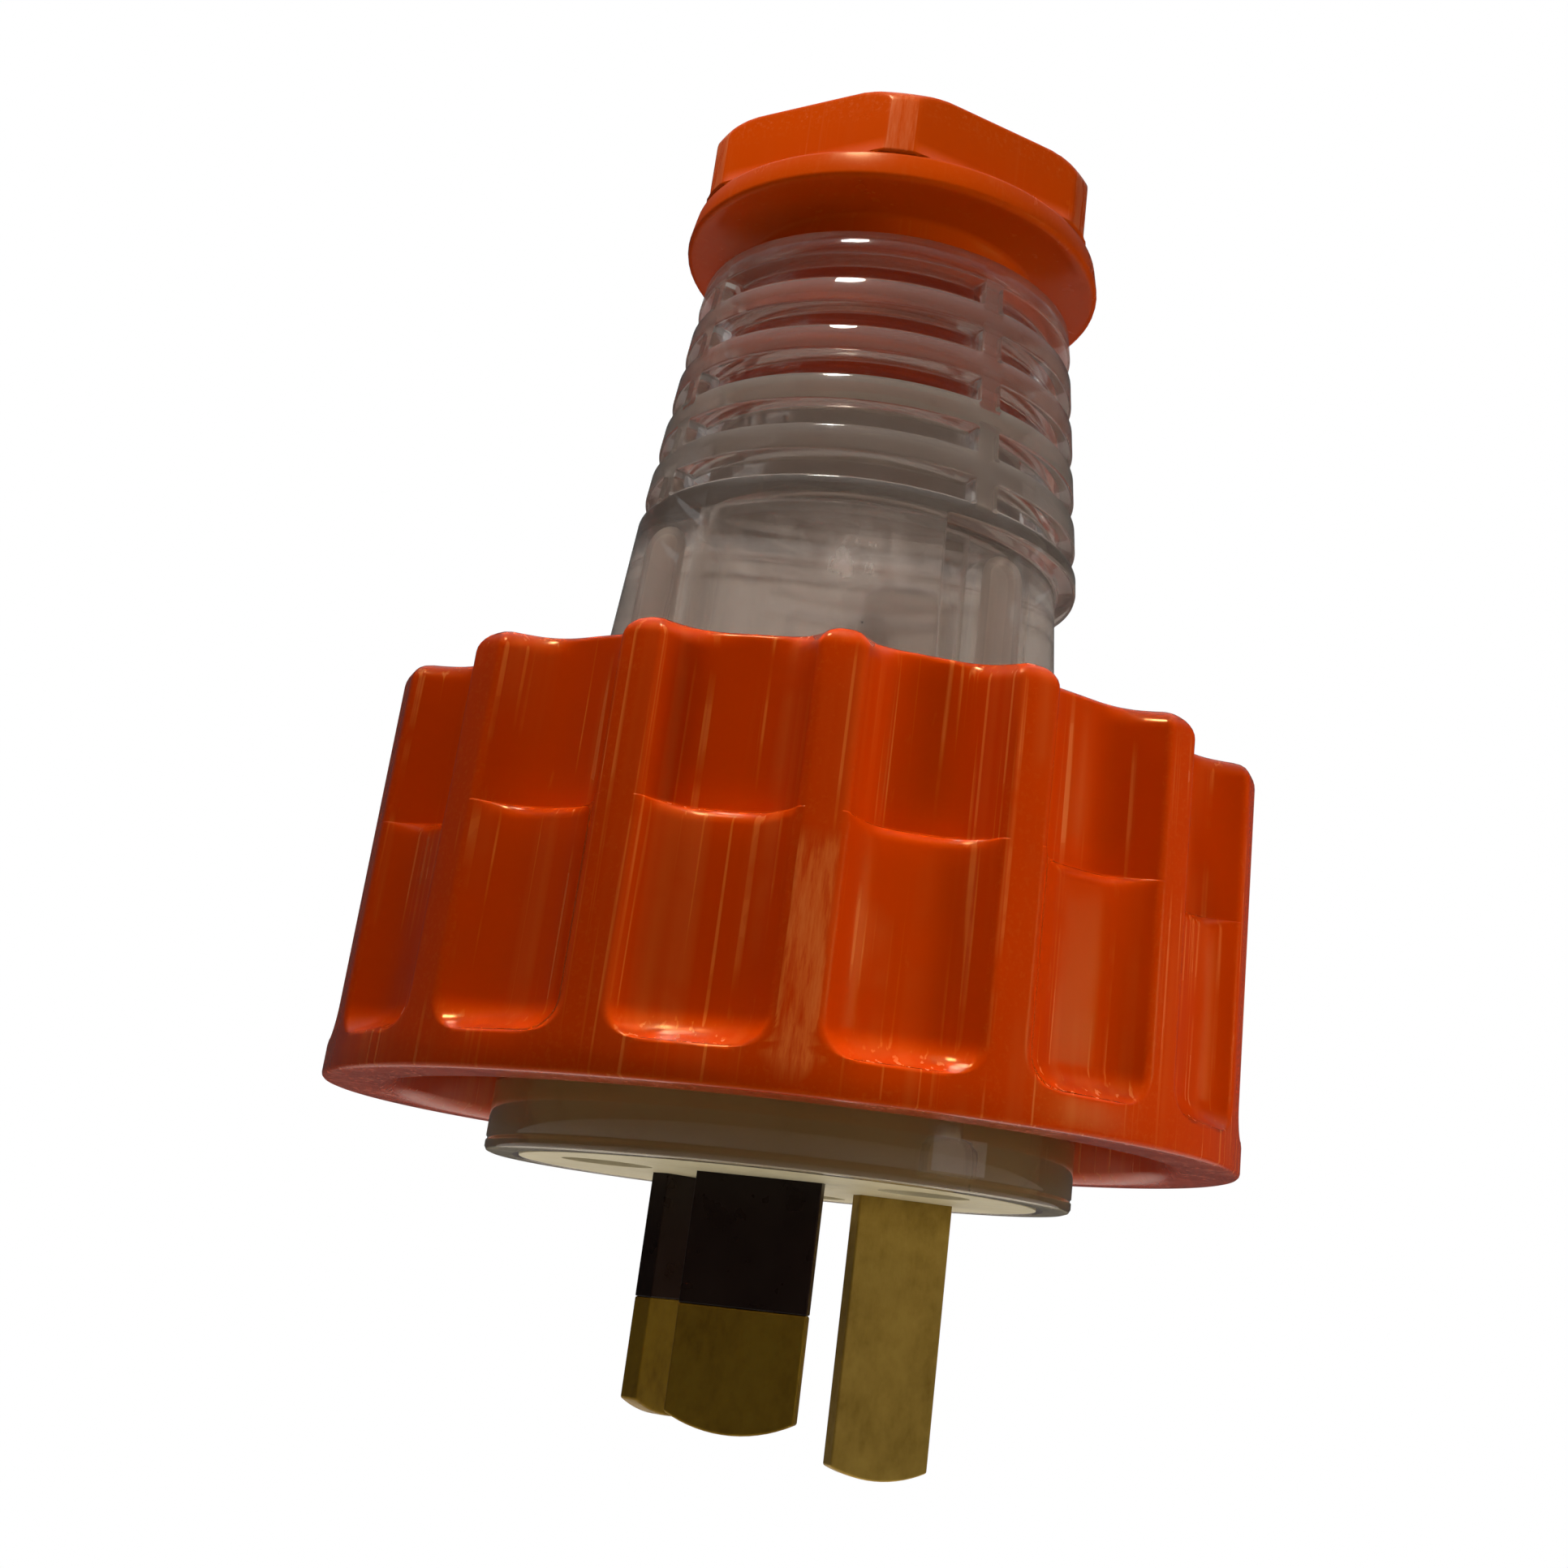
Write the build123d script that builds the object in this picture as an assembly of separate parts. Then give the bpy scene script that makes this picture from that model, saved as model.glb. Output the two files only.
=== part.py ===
"""Waterproof three-pin plug: clear ribbed body, fluted locking ring, cable gland and pin carrier.

Millimetres. Origin at the centre of the engagement face, +Z towards the cable gland,
pins along -Z, earth pin on +X.
"""
import os
from math import cos, radians, sin

from build123d import *

os.makedirs("parts", exist_ok=True)

# Clearances
THREAD_GAP = 0.30
RUNNING_GAP = 0.08
SEAT_GAP = 0.05
FREE_GAP = 0.30
CARRIER_GAP = 0.20
OVERCUT = 1.0

# Flat-pin pattern
PIN_RADIUS = 7.92
EARTH_RADIUS = 10.31
BLADE_THICK = 1.63
BLADE_WIDTH = 9.08
EARTH_WIDTH = 7.80
BLADE_LENGTH = 17.06
EARTH_LENGTH = 19.94
TIP_ARC_RADIUS = 10.0
TIP_ZONE = 4.0
TANG_WIDTH = 6.0
TANG_INSERT = 3.0
BLADE_SEAT = 3.0
SLEEVE_LENGTH = 8.9
SLEEVE_SOCKET_DEPTH = 1.5
CORE_THICK = 0.83
CORE_WIDTH = 8.08
ACTIVE_ANGLE = 120.0
NEUTRAL_ANGLE = -120.0
EARTH_ANGLE = 0.0

# Terminals
TERMINAL_FLOOR = 1.8
TERMINAL_HEIGHT = 11.0
TERMINAL_WIDTH = 8.2
TERMINAL_DEPTH = 7.2
TERMINAL_SHIFT = 0.98
TUNNEL_RADIUS = 2.4
TUNNEL_DEPTH = 7.5
TERMINAL_SCREW_RADIUS = 1.75
TERMINAL_SCREW_LENGTH = 4.2
TERMINAL_SCREW_DROP = 4.0
TERMINAL_SCREW_BITE = 1.6
SLOT_WIDTH = 0.7
SLOT_DEPTH = 0.8

# Pin carrier and its screws
DISC_THICK = 9.2
TOWER_WALL = 1.49
TOWER_RIM = 1.0
SEAL_SECTION = 1.15
SEAL_Z = 6.2
SCREW_RADIUS = 1.75
SCREW_HEAD_RADIUS = 3.0
SCREW_HEAD_HEIGHT = 2.0
SCREW_HEAD_LOW = 0.8
SCREW_HEAD_ROUND = 0.7
SCREW_CROSS_LENGTH = 3.2
SCREW_LENGTH = 27.0
SCREW_POINT = 2.5
SCREW_TIP_RADIUS = 0.3

# Clear body, heights from the face upwards
NOSE_LENGTH = 24.0
FACE_SEAL_THICK = 2.0
FLANGE_THICK = 4.0
CHAMBER_DROP = 2.0
LAND_HEIGHT = 3.1
BARREL_HEIGHT = 17.3
LIP_THICK = 1.6
NECK_HEIGHT = 22.4
GLAND_SEAT_RISE = 1.1
GLAND_SEAT_THICK = 1.8

# Clear body, radii and walls
TOWER_SPACE = 2.6
SEAT_LEDGE = 1.6
NOSE_WALL = 2.35
SEAL_STEP = 0.45
SEAL_WIDTH = 3.0
LAND_MARGIN = 1.4
BARREL_FLARE = 1.35
BARREL_STEP = 1.75
THROAT_WALL = 3.4
CORD_PASS_RADIUS = 7.5
GLAND_BORE_RADIUS = 13.25
NECK_WALL = 1.1
NECK_FLARE = 2.3
NECK_RIB_COUNT = 5
NECK_RIB_HEIGHT = 2.35
NECK_GROOVE_DEPTH = 1.7
NECK_WEB_WIDTH = 2.0
NECK_WEB_ANGLE = 10.0
BOSS_ANGLE = 60.0
BOSS_WALL = 1.6
BOSS_COVER = 1.4
BOSS_RIB_WIDTH = 3.0
PILOT_ROOF = 1.8
KEY_ANGLE = -78.0
KEY_WIDTH = 4.0
KEY_LOW = 0.9
KEY_HEIGHT = 2.5
KEY_DEPTH = 1.3
KEY_ROUND = 1.0

# Locking ring
RING_DIAMETER = 68.3
RING_WALL = 4.95
RING_WEB = 3.35
RING_HEIGHT = 29.8
RING_EDGE = 0.4
RIB_COUNT = 16
RIB_PHASE = 1.8
RIB_HALF_ANGLE = 2.6
CREST_ROUND = 0.9
FLUTE_DEPTH = 4.05
FLUTE_WALL = 2.5
FLUTE_HEIGHT = 12.4
POCKET_DEPTH = 2.35
POCKET_ROUND = 2.3
SKIRT_BAND = 2.4
LEDGE_COVER = 0.6

# Gland nut, washer and bush
NUT_BACK_OFF = 3.7
NUT_FLANGE_THICK = 2.6
NUT_FLANGE_RADIUS = 18.1
NUT_HEX_HEIGHT = 6.2
NUT_ACROSS_FLATS = 32.0
NUT_CORNER_RADIUS = 17.5
NUT_CORNER_ANGLE = 7.0
NUT_CROWN_ROUND = 1.8
NUT_ROOF = 6.5
SHANK_WALL = 2.4
CORD_BORE_RADIUS = 7.0
MOUTH_ROUND = 2.0
WASHER_THICK = 1.2
WASHER_BORE_RADIUS = 7.2
BUSH_HEIGHT = 7.3
BUSH_BORE_RADIUS = 5.5

# Places that follow from the sizes
TERMINAL_RADIUS = PIN_RADIUS + TERMINAL_SHIFT
TERMINAL_LOW = DISC_THICK + TERMINAL_FLOOR
TERMINAL_TOP = TERMINAL_LOW + TERMINAL_HEIGHT
TERMINAL_SCREW_Z = TERMINAL_TOP - TERMINAL_SCREW_DROP
TOWER_TOP = TERMINAL_TOP + TOWER_RIM
TOWER_RADIUS = EARTH_RADIUS + TERMINAL_DEPTH / 2.0 + TOWER_WALL
CHAMBER_RADIUS = TOWER_RADIUS + TOWER_SPACE
SKIRT_BORE_RADIUS = CHAMBER_RADIUS + SEAT_LEDGE
NOSE_RADIUS = SKIRT_BORE_RADIUS + NOSE_WALL
FLANGE_RADIUS = NOSE_RADIUS + SEAL_STEP + SEAL_WIDTH
FLANGE_LOW = NOSE_LENGTH + FACE_SEAL_THICK
FLANGE_TOP = FLANGE_LOW + FLANGE_THICK
CHAMBER_TOP = FLANGE_TOP - CHAMBER_DROP
LAND_TOP = FLANGE_TOP + LAND_HEIGHT
BARREL_TOP = LAND_TOP + BARREL_HEIGHT
NECK_TOP = BARREL_TOP + NECK_HEIGHT
GLAND_SEAT_Z = BARREL_TOP + GLAND_SEAT_RISE
NECK_TOP_RADIUS = GLAND_BORE_RADIUS + NECK_WALL + NECK_GROOVE_DEPTH
BARREL_TOP_RADIUS = NECK_TOP_RADIUS + NECK_FLARE
BARREL_LOW_RADIUS = BARREL_TOP_RADIUS + BARREL_FLARE
STEP_TOP_RADIUS = BARREL_TOP_RADIUS - BARREL_STEP
LAND_RADIUS = BARREL_LOW_RADIUS + LAND_MARGIN
THROAT_RADIUS = STEP_TOP_RADIUS - THROAT_WALL
PILOT_RADIUS = SCREW_RADIUS + SEAT_GAP
PILOT_TOP = BARREL_TOP - PILOT_ROOF
BOSS_RADIUS = PILOT_RADIUS + BOSS_WALL
BOSS_PITCH_RADIUS = STEP_TOP_RADIUS - BOSS_COVER - PILOT_RADIUS
RING_RADIUS = RING_DIAMETER / 2.0
RING_MINOR_RADIUS = RING_RADIUS - RING_WALL
RING_INNER_RADIUS = RING_RADIUS - FLUTE_DEPTH - FLUTE_WALL
RING_TOP = FLANGE_TOP + SEAT_GAP + RING_WEB
RING_LOW = RING_TOP - RING_HEIGHT
LEDGE_Z = RING_TOP - FLUTE_HEIGHT
POCKET_LOW = RING_LOW + SKIRT_BAND
NUT_LOW = NECK_TOP + NUT_BACK_OFF
NUT_FLANGE_TOP = NUT_LOW + NUT_FLANGE_THICK
NUT_TOP = NUT_FLANGE_TOP + NUT_HEX_HEIGHT
SHANK_RADIUS = GLAND_BORE_RADIUS - THREAD_GAP
BUSH_TOP = GLAND_SEAT_Z + BUSH_HEIGHT
WASHER_TOP = BUSH_TOP + WASHER_THICK

BASE = (Align.CENTER, Align.CENTER, Align.MIN)
SIDE = (Align.MIN, Align.CENTER, Align.MIN)
PIN_NAMES = ["active", "neutral", "earth"]
PIN_PLACES = [
    (ACTIVE_ANGLE, PIN_RADIUS, BLADE_WIDTH, 90.0),
    (NEUTRAL_ANGLE, PIN_RADIUS, BLADE_WIDTH, 90.0),
    (EARTH_ANGLE, EARTH_RADIUS, EARTH_WIDTH, 0.0),
]
TERMINAL_PLACES = [
    (ACTIVE_ANGLE, TERMINAL_RADIUS),
    (NEUTRAL_ANGLE, TERMINAL_RADIUS),
    (EARTH_ANGLE, EARTH_RADIUS),
]
BOSS_ANGLES = [BOSS_ANGLE, BOSS_ANGLE + 120.0, BOSS_ANGLE + 240.0]


def drum(radius, low, high):
    """Upright cylinder between two heights."""
    return Pos(0, 0, low) * Cylinder(radius, high - low, align=BASE)


def frustum(radius_low, radius_high, low, high):
    """Upright cone frustum between two heights."""
    return Pos(0, 0, low) * Cone(radius_low, radius_high, high - low, align=BASE)


def bar(length, width, low, high):
    """Box centred on the axis between two heights."""
    return Pos(0, 0, low) * Box(length, width, high - low, align=BASE)


def around(angle, radius, shape):
    """Shape moved out along X by radius, then turned about the axis."""
    return Rot(0, 0, angle) * Pos(radius, 0, 0) * shape


def flute_sketch(depth):
    """Cross-section of the ring outside, with rounded crests between flutes of one depth."""
    half = radians(180.0 / RIB_COUNT - RIB_HALF_ANGLE)
    half_width = RING_RADIUS * sin(half)
    floor = RING_RADIUS - depth
    sagitta = RING_RADIUS * cos(half) - floor
    flute = (half_width ** 2 + sagitta ** 2) / (2.0 * sagitta)
    flutes = [spot * Circle(flute) for spot in PolarLocations(floor + flute, RIB_COUNT)]
    outline = Circle(RING_RADIUS) - flutes
    return fillet(outline.vertices(), CREST_ROUND)


def flute_waste(depth, low, high):
    """Everything outside the fluted cross-section between two heights."""
    waste = Circle(RING_RADIUS + POCKET_ROUND + OVERCUT) - flute_sketch(depth)
    turn = RIB_PHASE + 180.0 / RIB_COUNT
    return Rot(0, 0, turn) * Pos(0, 0, low) * extrude(waste, high - low)


def make_ring():
    """Locking ring: deep flutes above a ledge, shallow pockets with rounded ends below it."""
    blank = drum(RING_RADIUS, RING_LOW, RING_TOP)
    blank = chamfer(blank.edges().filter_by(GeomType.CIRCLE), RING_EDGE)
    pocket = flute_waste(POCKET_DEPTH, POCKET_LOW, LEDGE_Z)
    ends = pocket.edges().group_by(Axis.Z)[0]
    pocket = fillet(ends.filter_by(lambda edge: edge.length < RING_RADIUS), POCKET_ROUND)
    ring = blank - pocket - flute_waste(FLUTE_DEPTH, LEDGE_Z, RING_TOP + OVERCUT)
    step = LEDGE_Z - LEDGE_COVER
    ring -= drum(RING_MINOR_RADIUS, RING_LOW - OVERCUT, step)
    ring -= drum(RING_INNER_RADIUS, step - OVERCUT, FLANGE_TOP + SEAT_GAP)
    return ring - drum(LAND_RADIUS + RUNNING_GAP, FLANGE_TOP, RING_TOP + OVERCUT)


def neck_grooves():
    """Windows between the neck ribs, parted by four upright webs."""
    pitch = NECK_HEIGHT / NECK_RIB_COUNT
    floor_low = BARREL_TOP_RADIUS - NECK_GROOVE_DEPTH
    floor_high = NECK_TOP_RADIUS - NECK_GROOVE_DEPTH
    keep = frustum(floor_low, floor_high, BARREL_TOP, NECK_TOP)
    reach = BARREL_TOP_RADIUS + OVERCUT
    for turn in (0, 90):
        keep += Rot(0, 0, NECK_WEB_ANGLE + turn) * bar(2.0 * reach, NECK_WEB_WIDTH, BARREL_TOP, NECK_TOP)
    grooves = []
    for index in range(NECK_RIB_COUNT):
        low = BARREL_TOP + index * pitch
        grooves.append(drum(reach, low, low + pitch - NECK_RIB_HEIGHT) - keep)
    return grooves


def body_outside():
    """Nose, seal step, flange, land, stepped barrel and ribbed neck as one solid block."""
    body = drum(NOSE_RADIUS, 0, FLANGE_LOW)
    body += drum(NOSE_RADIUS + SEAL_STEP, NOSE_LENGTH, FLANGE_LOW)
    body += drum(FLANGE_RADIUS, FLANGE_LOW, FLANGE_TOP)
    body += drum(LAND_RADIUS, FLANGE_TOP, LAND_TOP)
    body += frustum(BARREL_LOW_RADIUS, BARREL_TOP_RADIUS, LAND_TOP, BARREL_TOP)
    body += frustum(BARREL_TOP_RADIUS, NECK_TOP_RADIUS, BARREL_TOP, NECK_TOP)
    reach = BARREL_LOW_RADIUS + OVERCUT
    earth_side = Box(reach, 2.0 * reach, BARREL_HEIGHT - LIP_THICK, align=SIDE)
    inner = frustum(BARREL_LOW_RADIUS - BARREL_STEP, STEP_TOP_RADIUS, LAND_TOP, BARREL_TOP)
    body -= Pos(0, 0, LAND_TOP) * earth_side - inner
    for groove in neck_grooves():
        body -= groove
    return body


def terminal_chamber():
    """Wiring space behind the carrier, narrowed to the throat and clear of the screw bosses."""
    chamber = drum(CHAMBER_RADIUS, DISC_THICK, CHAMBER_TOP)
    chamber += frustum(CHAMBER_RADIUS, THROAT_RADIUS, CHAMBER_TOP, LAND_TOP)
    chamber += drum(THROAT_RADIUS, LAND_TOP, GLAND_SEAT_Z - GLAND_SEAT_THICK)
    rib = Box(CHAMBER_RADIUS, BOSS_RIB_WIDTH, LAND_TOP - DISC_THICK, align=SIDE)
    for angle in BOSS_ANGLES:
        chamber -= around(angle, BOSS_PITCH_RADIUS, drum(BOSS_RADIUS, DISC_THICK, BARREL_TOP))
        chamber -= around(angle, BOSS_PITCH_RADIUS, Pos(0, 0, DISC_THICK) * rib)
    return chamber


def make_body():
    """Clear body with its carrier seat, wiring space, gland bore, screw pilots and key recess."""
    body = body_outside()
    body -= drum(SKIRT_BORE_RADIUS, -OVERCUT, DISC_THICK)
    body -= terminal_chamber()
    body -= drum(CORD_PASS_RADIUS, CHAMBER_TOP, NECK_TOP)
    body -= drum(GLAND_BORE_RADIUS, GLAND_SEAT_Z, NECK_TOP + OVERCUT)
    for angle in BOSS_ANGLES:
        pilot = drum(PILOT_RADIUS, DISC_THICK - OVERCUT, PILOT_TOP - PILOT_RADIUS)
        pilot += Pos(0, 0, PILOT_TOP - PILOT_RADIUS) * Sphere(PILOT_RADIUS)
        body -= around(angle, BOSS_PITCH_RADIUS, pilot)
    key = Box(2.0 * KEY_DEPTH, KEY_WIDTH, KEY_HEIGHT, align=BASE)
    key = fillet(key.edges().filter_by(Axis.X).group_by(Axis.Z)[-1], KEY_ROUND)
    return body - around(KEY_ANGLE, SKIRT_BORE_RADIUS, Pos(0, 0, KEY_LOW) * key)


def make_nut():
    """Gland nut: rounded hexagon head, round flange and hollow shank down to the washer."""
    crown = drum(NUT_CORNER_RADIUS, NUT_FLANGE_TOP, NUT_TOP)
    crown = fillet(crown.edges().group_by(Axis.Z)[-1], NUT_CROWN_ROUND)
    flats = RegularPolygon(NUT_ACROSS_FLATS / 2.0, 6, major_radius=False, rotation=NUT_CORNER_ANGLE)
    head = crown & (Pos(0, 0, NUT_FLANGE_TOP) * extrude(flats, NUT_HEX_HEIGHT))
    nut = head + drum(NUT_FLANGE_RADIUS, NUT_LOW, NUT_FLANGE_TOP)
    nut += drum(SHANK_RADIUS, WASHER_TOP, NUT_LOW)
    nut -= drum(SHANK_RADIUS - SHANK_WALL, WASHER_TOP - OVERCUT, NUT_TOP - NUT_ROOF)
    nut -= drum(CORD_BORE_RADIUS, WASHER_TOP, NUT_TOP)
    return nut - frustum(CORD_BORE_RADIUS, CORD_BORE_RADIUS + MOUTH_ROUND, NUT_TOP - MOUTH_ROUND, NUT_TOP)


def make_washer():
    """Slip washer under the shank of the nut."""
    outside = drum(GLAND_BORE_RADIUS - FREE_GAP, BUSH_TOP, WASHER_TOP)
    return outside - drum(WASHER_BORE_RADIUS, BUSH_TOP, WASHER_TOP)


def make_bush():
    """Rubber gland bush between its seat in the neck and the washer."""
    outside = drum(GLAND_BORE_RADIUS - SEAT_GAP, GLAND_SEAT_Z, BUSH_TOP)
    return outside - drum(BUSH_BORE_RADIUS, GLAND_SEAT_Z, BUSH_TOP)


def blade_solid(width, length, top):
    """Flat blade with an arched tip, broad side across X, thin side across Y."""
    tip = bar(width, BLADE_THICK, -length, -length + TIP_ZONE)
    arch = Rot(90, 0, 0) * Cylinder(TIP_ARC_RADIUS, 2.0 * BLADE_THICK)
    tip &= Pos(0, 0, -length + TIP_ARC_RADIUS) * arch
    return tip + bar(width, BLADE_THICK, -length + TIP_ZONE, top)


def tang():
    """Narrow tail of a pin, from its seat in the carrier into the terminal."""
    return bar(TANG_WIDTH, BLADE_THICK, BLADE_SEAT, TERMINAL_LOW + TANG_INSERT)


def sleeve_core():
    """Thinned part of a blade under its insulation."""
    return bar(CORE_WIDTH, CORE_THICK, -SLEEVE_LENGTH, SLEEVE_SOCKET_DEPTH)


def make_sleeve():
    """Black insulation, flush with the blade it surrounds."""
    return bar(BLADE_WIDTH, BLADE_THICK, -SLEEVE_LENGTH, SLEEVE_SOCKET_DEPTH) - sleeve_core()


def make_sleeved_pin():
    """Active or neutral blade with its thinned part and tail."""
    pin = blade_solid(BLADE_WIDTH, BLADE_LENGTH, -SLEEVE_LENGTH)
    pin += bar(BLADE_WIDTH, BLADE_THICK, SLEEVE_SOCKET_DEPTH, BLADE_SEAT)
    return pin + sleeve_core() + tang()


def make_earth_pin():
    """Plain earth blade with its tail."""
    return blade_solid(EARTH_WIDTH, EARTH_LENGTH, BLADE_SEAT) + tang()


def make_terminal(radius):
    """Tunnel terminal above its pin: cord tunnel from the top, screw from outside."""
    block = bar(TERMINAL_DEPTH, TERMINAL_WIDTH, TERMINAL_LOW, TERMINAL_TOP)
    block -= drum(TUNNEL_RADIUS, TERMINAL_TOP - TUNNEL_DEPTH, TERMINAL_TOP)
    hole = Cylinder(TERMINAL_SCREW_RADIUS + SEAT_GAP, TERMINAL_DEPTH, align=BASE)
    block -= Pos(0, 0, TERMINAL_SCREW_Z) * Rot(0, 90, 0) * hole
    return Pos(radius, 0, 0) * block


def make_terminal_screw(radius):
    """Slotted screw that reaches into the tunnel."""
    start = radius + TERMINAL_DEPTH / 2.0 - TERMINAL_SCREW_BITE
    screw = Cylinder(TERMINAL_SCREW_RADIUS, TERMINAL_SCREW_LENGTH, align=BASE)
    slot = Box(4.0 * TERMINAL_SCREW_RADIUS, SLOT_WIDTH, SLOT_DEPTH, align=BASE)
    screw -= Pos(0, 0, TERMINAL_SCREW_LENGTH - SLOT_DEPTH) * slot
    return Pos(start, 0, TERMINAL_SCREW_Z) * Rot(0, 90, 0) * screw


def make_carrier_screw():
    """Self-tapping screw with a cross recess in its head."""
    head_top = SCREW_HEAD_LOW + SCREW_HEAD_HEIGHT
    head = drum(SCREW_HEAD_RADIUS, SCREW_HEAD_LOW, head_top)
    head = fillet(head.edges().group_by(Axis.Z)[0], SCREW_HEAD_ROUND)
    for turn in (0, 90):
        slot = bar(SCREW_CROSS_LENGTH, SLOT_WIDTH, SCREW_HEAD_LOW, SCREW_HEAD_LOW + SLOT_DEPTH)
        head -= Rot(0, 0, turn) * slot
    tip = head_top + SCREW_LENGTH
    shank = drum(SCREW_RADIUS, head_top, tip - SCREW_POINT)
    return head + shank + frustum(SCREW_RADIUS, SCREW_TIP_RADIUS, tip - SCREW_POINT, tip)


def carrier_block():
    """Face disc with its seal groove and the tower behind it, cleared for the screw bosses."""
    disc_radius = SKIRT_BORE_RADIUS - CARRIER_GAP
    carrier = drum(disc_radius, 0, DISC_THICK) + drum(TOWER_RADIUS, DISC_THICK, TOWER_TOP)
    low = SEAL_Z - SEAL_SECTION
    high = SEAL_Z + SEAL_SECTION
    groove_floor = drum(SKIRT_BORE_RADIUS - 2.0 * SEAL_SECTION, low, high)
    carrier -= drum(disc_radius + OVERCUT, low, high) - groove_floor
    for angle in BOSS_ANGLES:
        carrier -= around(angle, BOSS_PITCH_RADIUS, drum(BOSS_RADIUS + FREE_GAP, DISC_THICK, TOWER_TOP))
    return carrier


def make_carrier():
    """Cream carrier with pin slots, terminal pockets, screw recesses and screwdriver ways."""
    carrier = carrier_block()
    for angle in BOSS_ANGLES:
        hole = drum(SCREW_RADIUS + FREE_GAP, -OVERCUT, DISC_THICK)
        hole += drum(SCREW_HEAD_RADIUS + FREE_GAP, -OVERCUT, SCREW_HEAD_LOW + SCREW_HEAD_HEIGHT)
        carrier -= around(angle, BOSS_PITCH_RADIUS, hole)
    thick = BLADE_THICK + 2.0 * SEAT_GAP
    for angle, radius, width, turn in PIN_PLACES:
        slot = bar(width + 2.0 * SEAT_GAP, thick, -OVERCUT, BLADE_SEAT)
        slot += bar(TANG_WIDTH + 2.0 * SEAT_GAP, thick, BLADE_SEAT, TERMINAL_LOW)
        carrier -= around(angle, radius, Rot(0, 0, turn) * slot)
    pocket = bar(TERMINAL_DEPTH + 2.0 * SEAT_GAP, TERMINAL_WIDTH + 2.0 * SEAT_GAP, TERMINAL_LOW, TOWER_TOP)
    driver_way = Rot(0, 90, 0) * Cylinder(TERMINAL_SCREW_RADIUS + FREE_GAP, TOWER_RADIUS, align=BASE)
    for angle, radius in TERMINAL_PLACES:
        carrier -= around(angle, radius, pocket)
        carrier -= around(angle, radius, Pos(0, 0, TERMINAL_SCREW_Z) * driver_way)
    return carrier


def make_carrier_seal():
    """O-ring in the rim of the carrier."""
    return Pos(0, 0, SEAL_Z) * Torus(SKIRT_BORE_RADIUS - SEAL_SECTION, SEAL_SECTION)


def make_face_seal():
    """Flat seal round the nose, against the underside of the flange."""
    inside = NOSE_RADIUS + SEAL_STEP + SEAT_GAP
    return drum(FLANGE_RADIUS, NOSE_LENGTH, FLANGE_LOW) - drum(inside, NOSE_LENGTH, FLANGE_LOW)


nodes = {
    "clear_body": make_body(),
    "locking_ring": make_ring(),
    "gland_nut": make_nut(),
    "gland_washer": make_washer(),
    "gland_bush": make_bush(),
    "pin_carrier": make_carrier(),
    "carrier_seal": make_carrier_seal(),
    "face_seal": make_face_seal(),
}

for name, (angle, radius, _, turn) in zip(PIN_NAMES, PIN_PLACES):
    pin = make_earth_pin() if name == "earth" else make_sleeved_pin()
    nodes[name + "_pin"] = around(angle, radius, Rot(0, 0, turn) * pin)
    if name != "earth":
        nodes[name + "_sleeve"] = around(angle, radius, Rot(0, 0, turn) * make_sleeve())

for name, (angle, radius), (_, pin_radius, _, turn) in zip(PIN_NAMES, TERMINAL_PLACES, PIN_PLACES):
    tail = Pos(pin_radius, 0, 0) * Rot(0, 0, turn) * tang()
    nodes[name + "_terminal"] = Rot(0, 0, angle) * (make_terminal(radius) - tail)
    nodes[name + "_terminal_screw"] = Rot(0, 0, angle) * make_terminal_screw(radius)

for letter, angle in zip("abc", BOSS_ANGLES):
    nodes["carrier_screw_" + letter] = around(angle, BOSS_PITCH_RADIUS, make_carrier_screw())

for name, solid in nodes.items():
    export_step(solid, "parts/" + name + ".step")
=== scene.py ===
"""Waterproof plug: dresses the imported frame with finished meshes, finishes, light and camera."""
import logging
import math
from collections.abc import Iterator
from contextlib import contextmanager
from dataclasses import dataclass
from enum import Enum, IntEnum

import bmesh
import bpy
import numpy as np
from mathutils import Matrix, Vector


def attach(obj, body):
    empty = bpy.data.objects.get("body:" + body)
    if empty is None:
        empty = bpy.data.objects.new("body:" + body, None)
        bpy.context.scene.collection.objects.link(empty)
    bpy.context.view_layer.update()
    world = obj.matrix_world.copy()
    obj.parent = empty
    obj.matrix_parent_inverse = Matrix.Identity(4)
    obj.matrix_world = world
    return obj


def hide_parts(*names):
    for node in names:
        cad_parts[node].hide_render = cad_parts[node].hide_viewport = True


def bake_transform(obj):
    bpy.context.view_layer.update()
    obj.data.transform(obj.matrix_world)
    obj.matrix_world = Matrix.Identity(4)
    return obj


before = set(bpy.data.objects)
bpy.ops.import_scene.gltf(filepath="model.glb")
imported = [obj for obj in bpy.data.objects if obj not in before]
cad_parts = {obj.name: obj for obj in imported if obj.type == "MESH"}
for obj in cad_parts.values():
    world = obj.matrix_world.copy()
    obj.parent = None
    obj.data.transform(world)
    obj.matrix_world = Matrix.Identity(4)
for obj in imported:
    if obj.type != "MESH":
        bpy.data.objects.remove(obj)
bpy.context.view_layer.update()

Colour = tuple[float, float, float]
Point = tuple[float, float, float]
Pair = tuple[float, float]
Rows = list[np.ndarray]
Material = bpy.types.Material
Mesh = bpy.types.Mesh
Piece = bpy.types.Object
Socket = bpy.types.NodeSocket
Feed = bpy.types.NodeSocket | float | Colour
Wires = dict[int | str, Feed]

LOG = logging.getLogger("plug")
MM = 0.001
JOIN = 5e-7
FAR = 99.0
BOSS_ANGLES = (60.0, 180.0, 300.0)


class Part(Enum):
    """Bodies that the pieces ride on."""

    BODY = "body"
    RING = "ring"
    SLIP = "slip"
    NUT = "nut"


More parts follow.
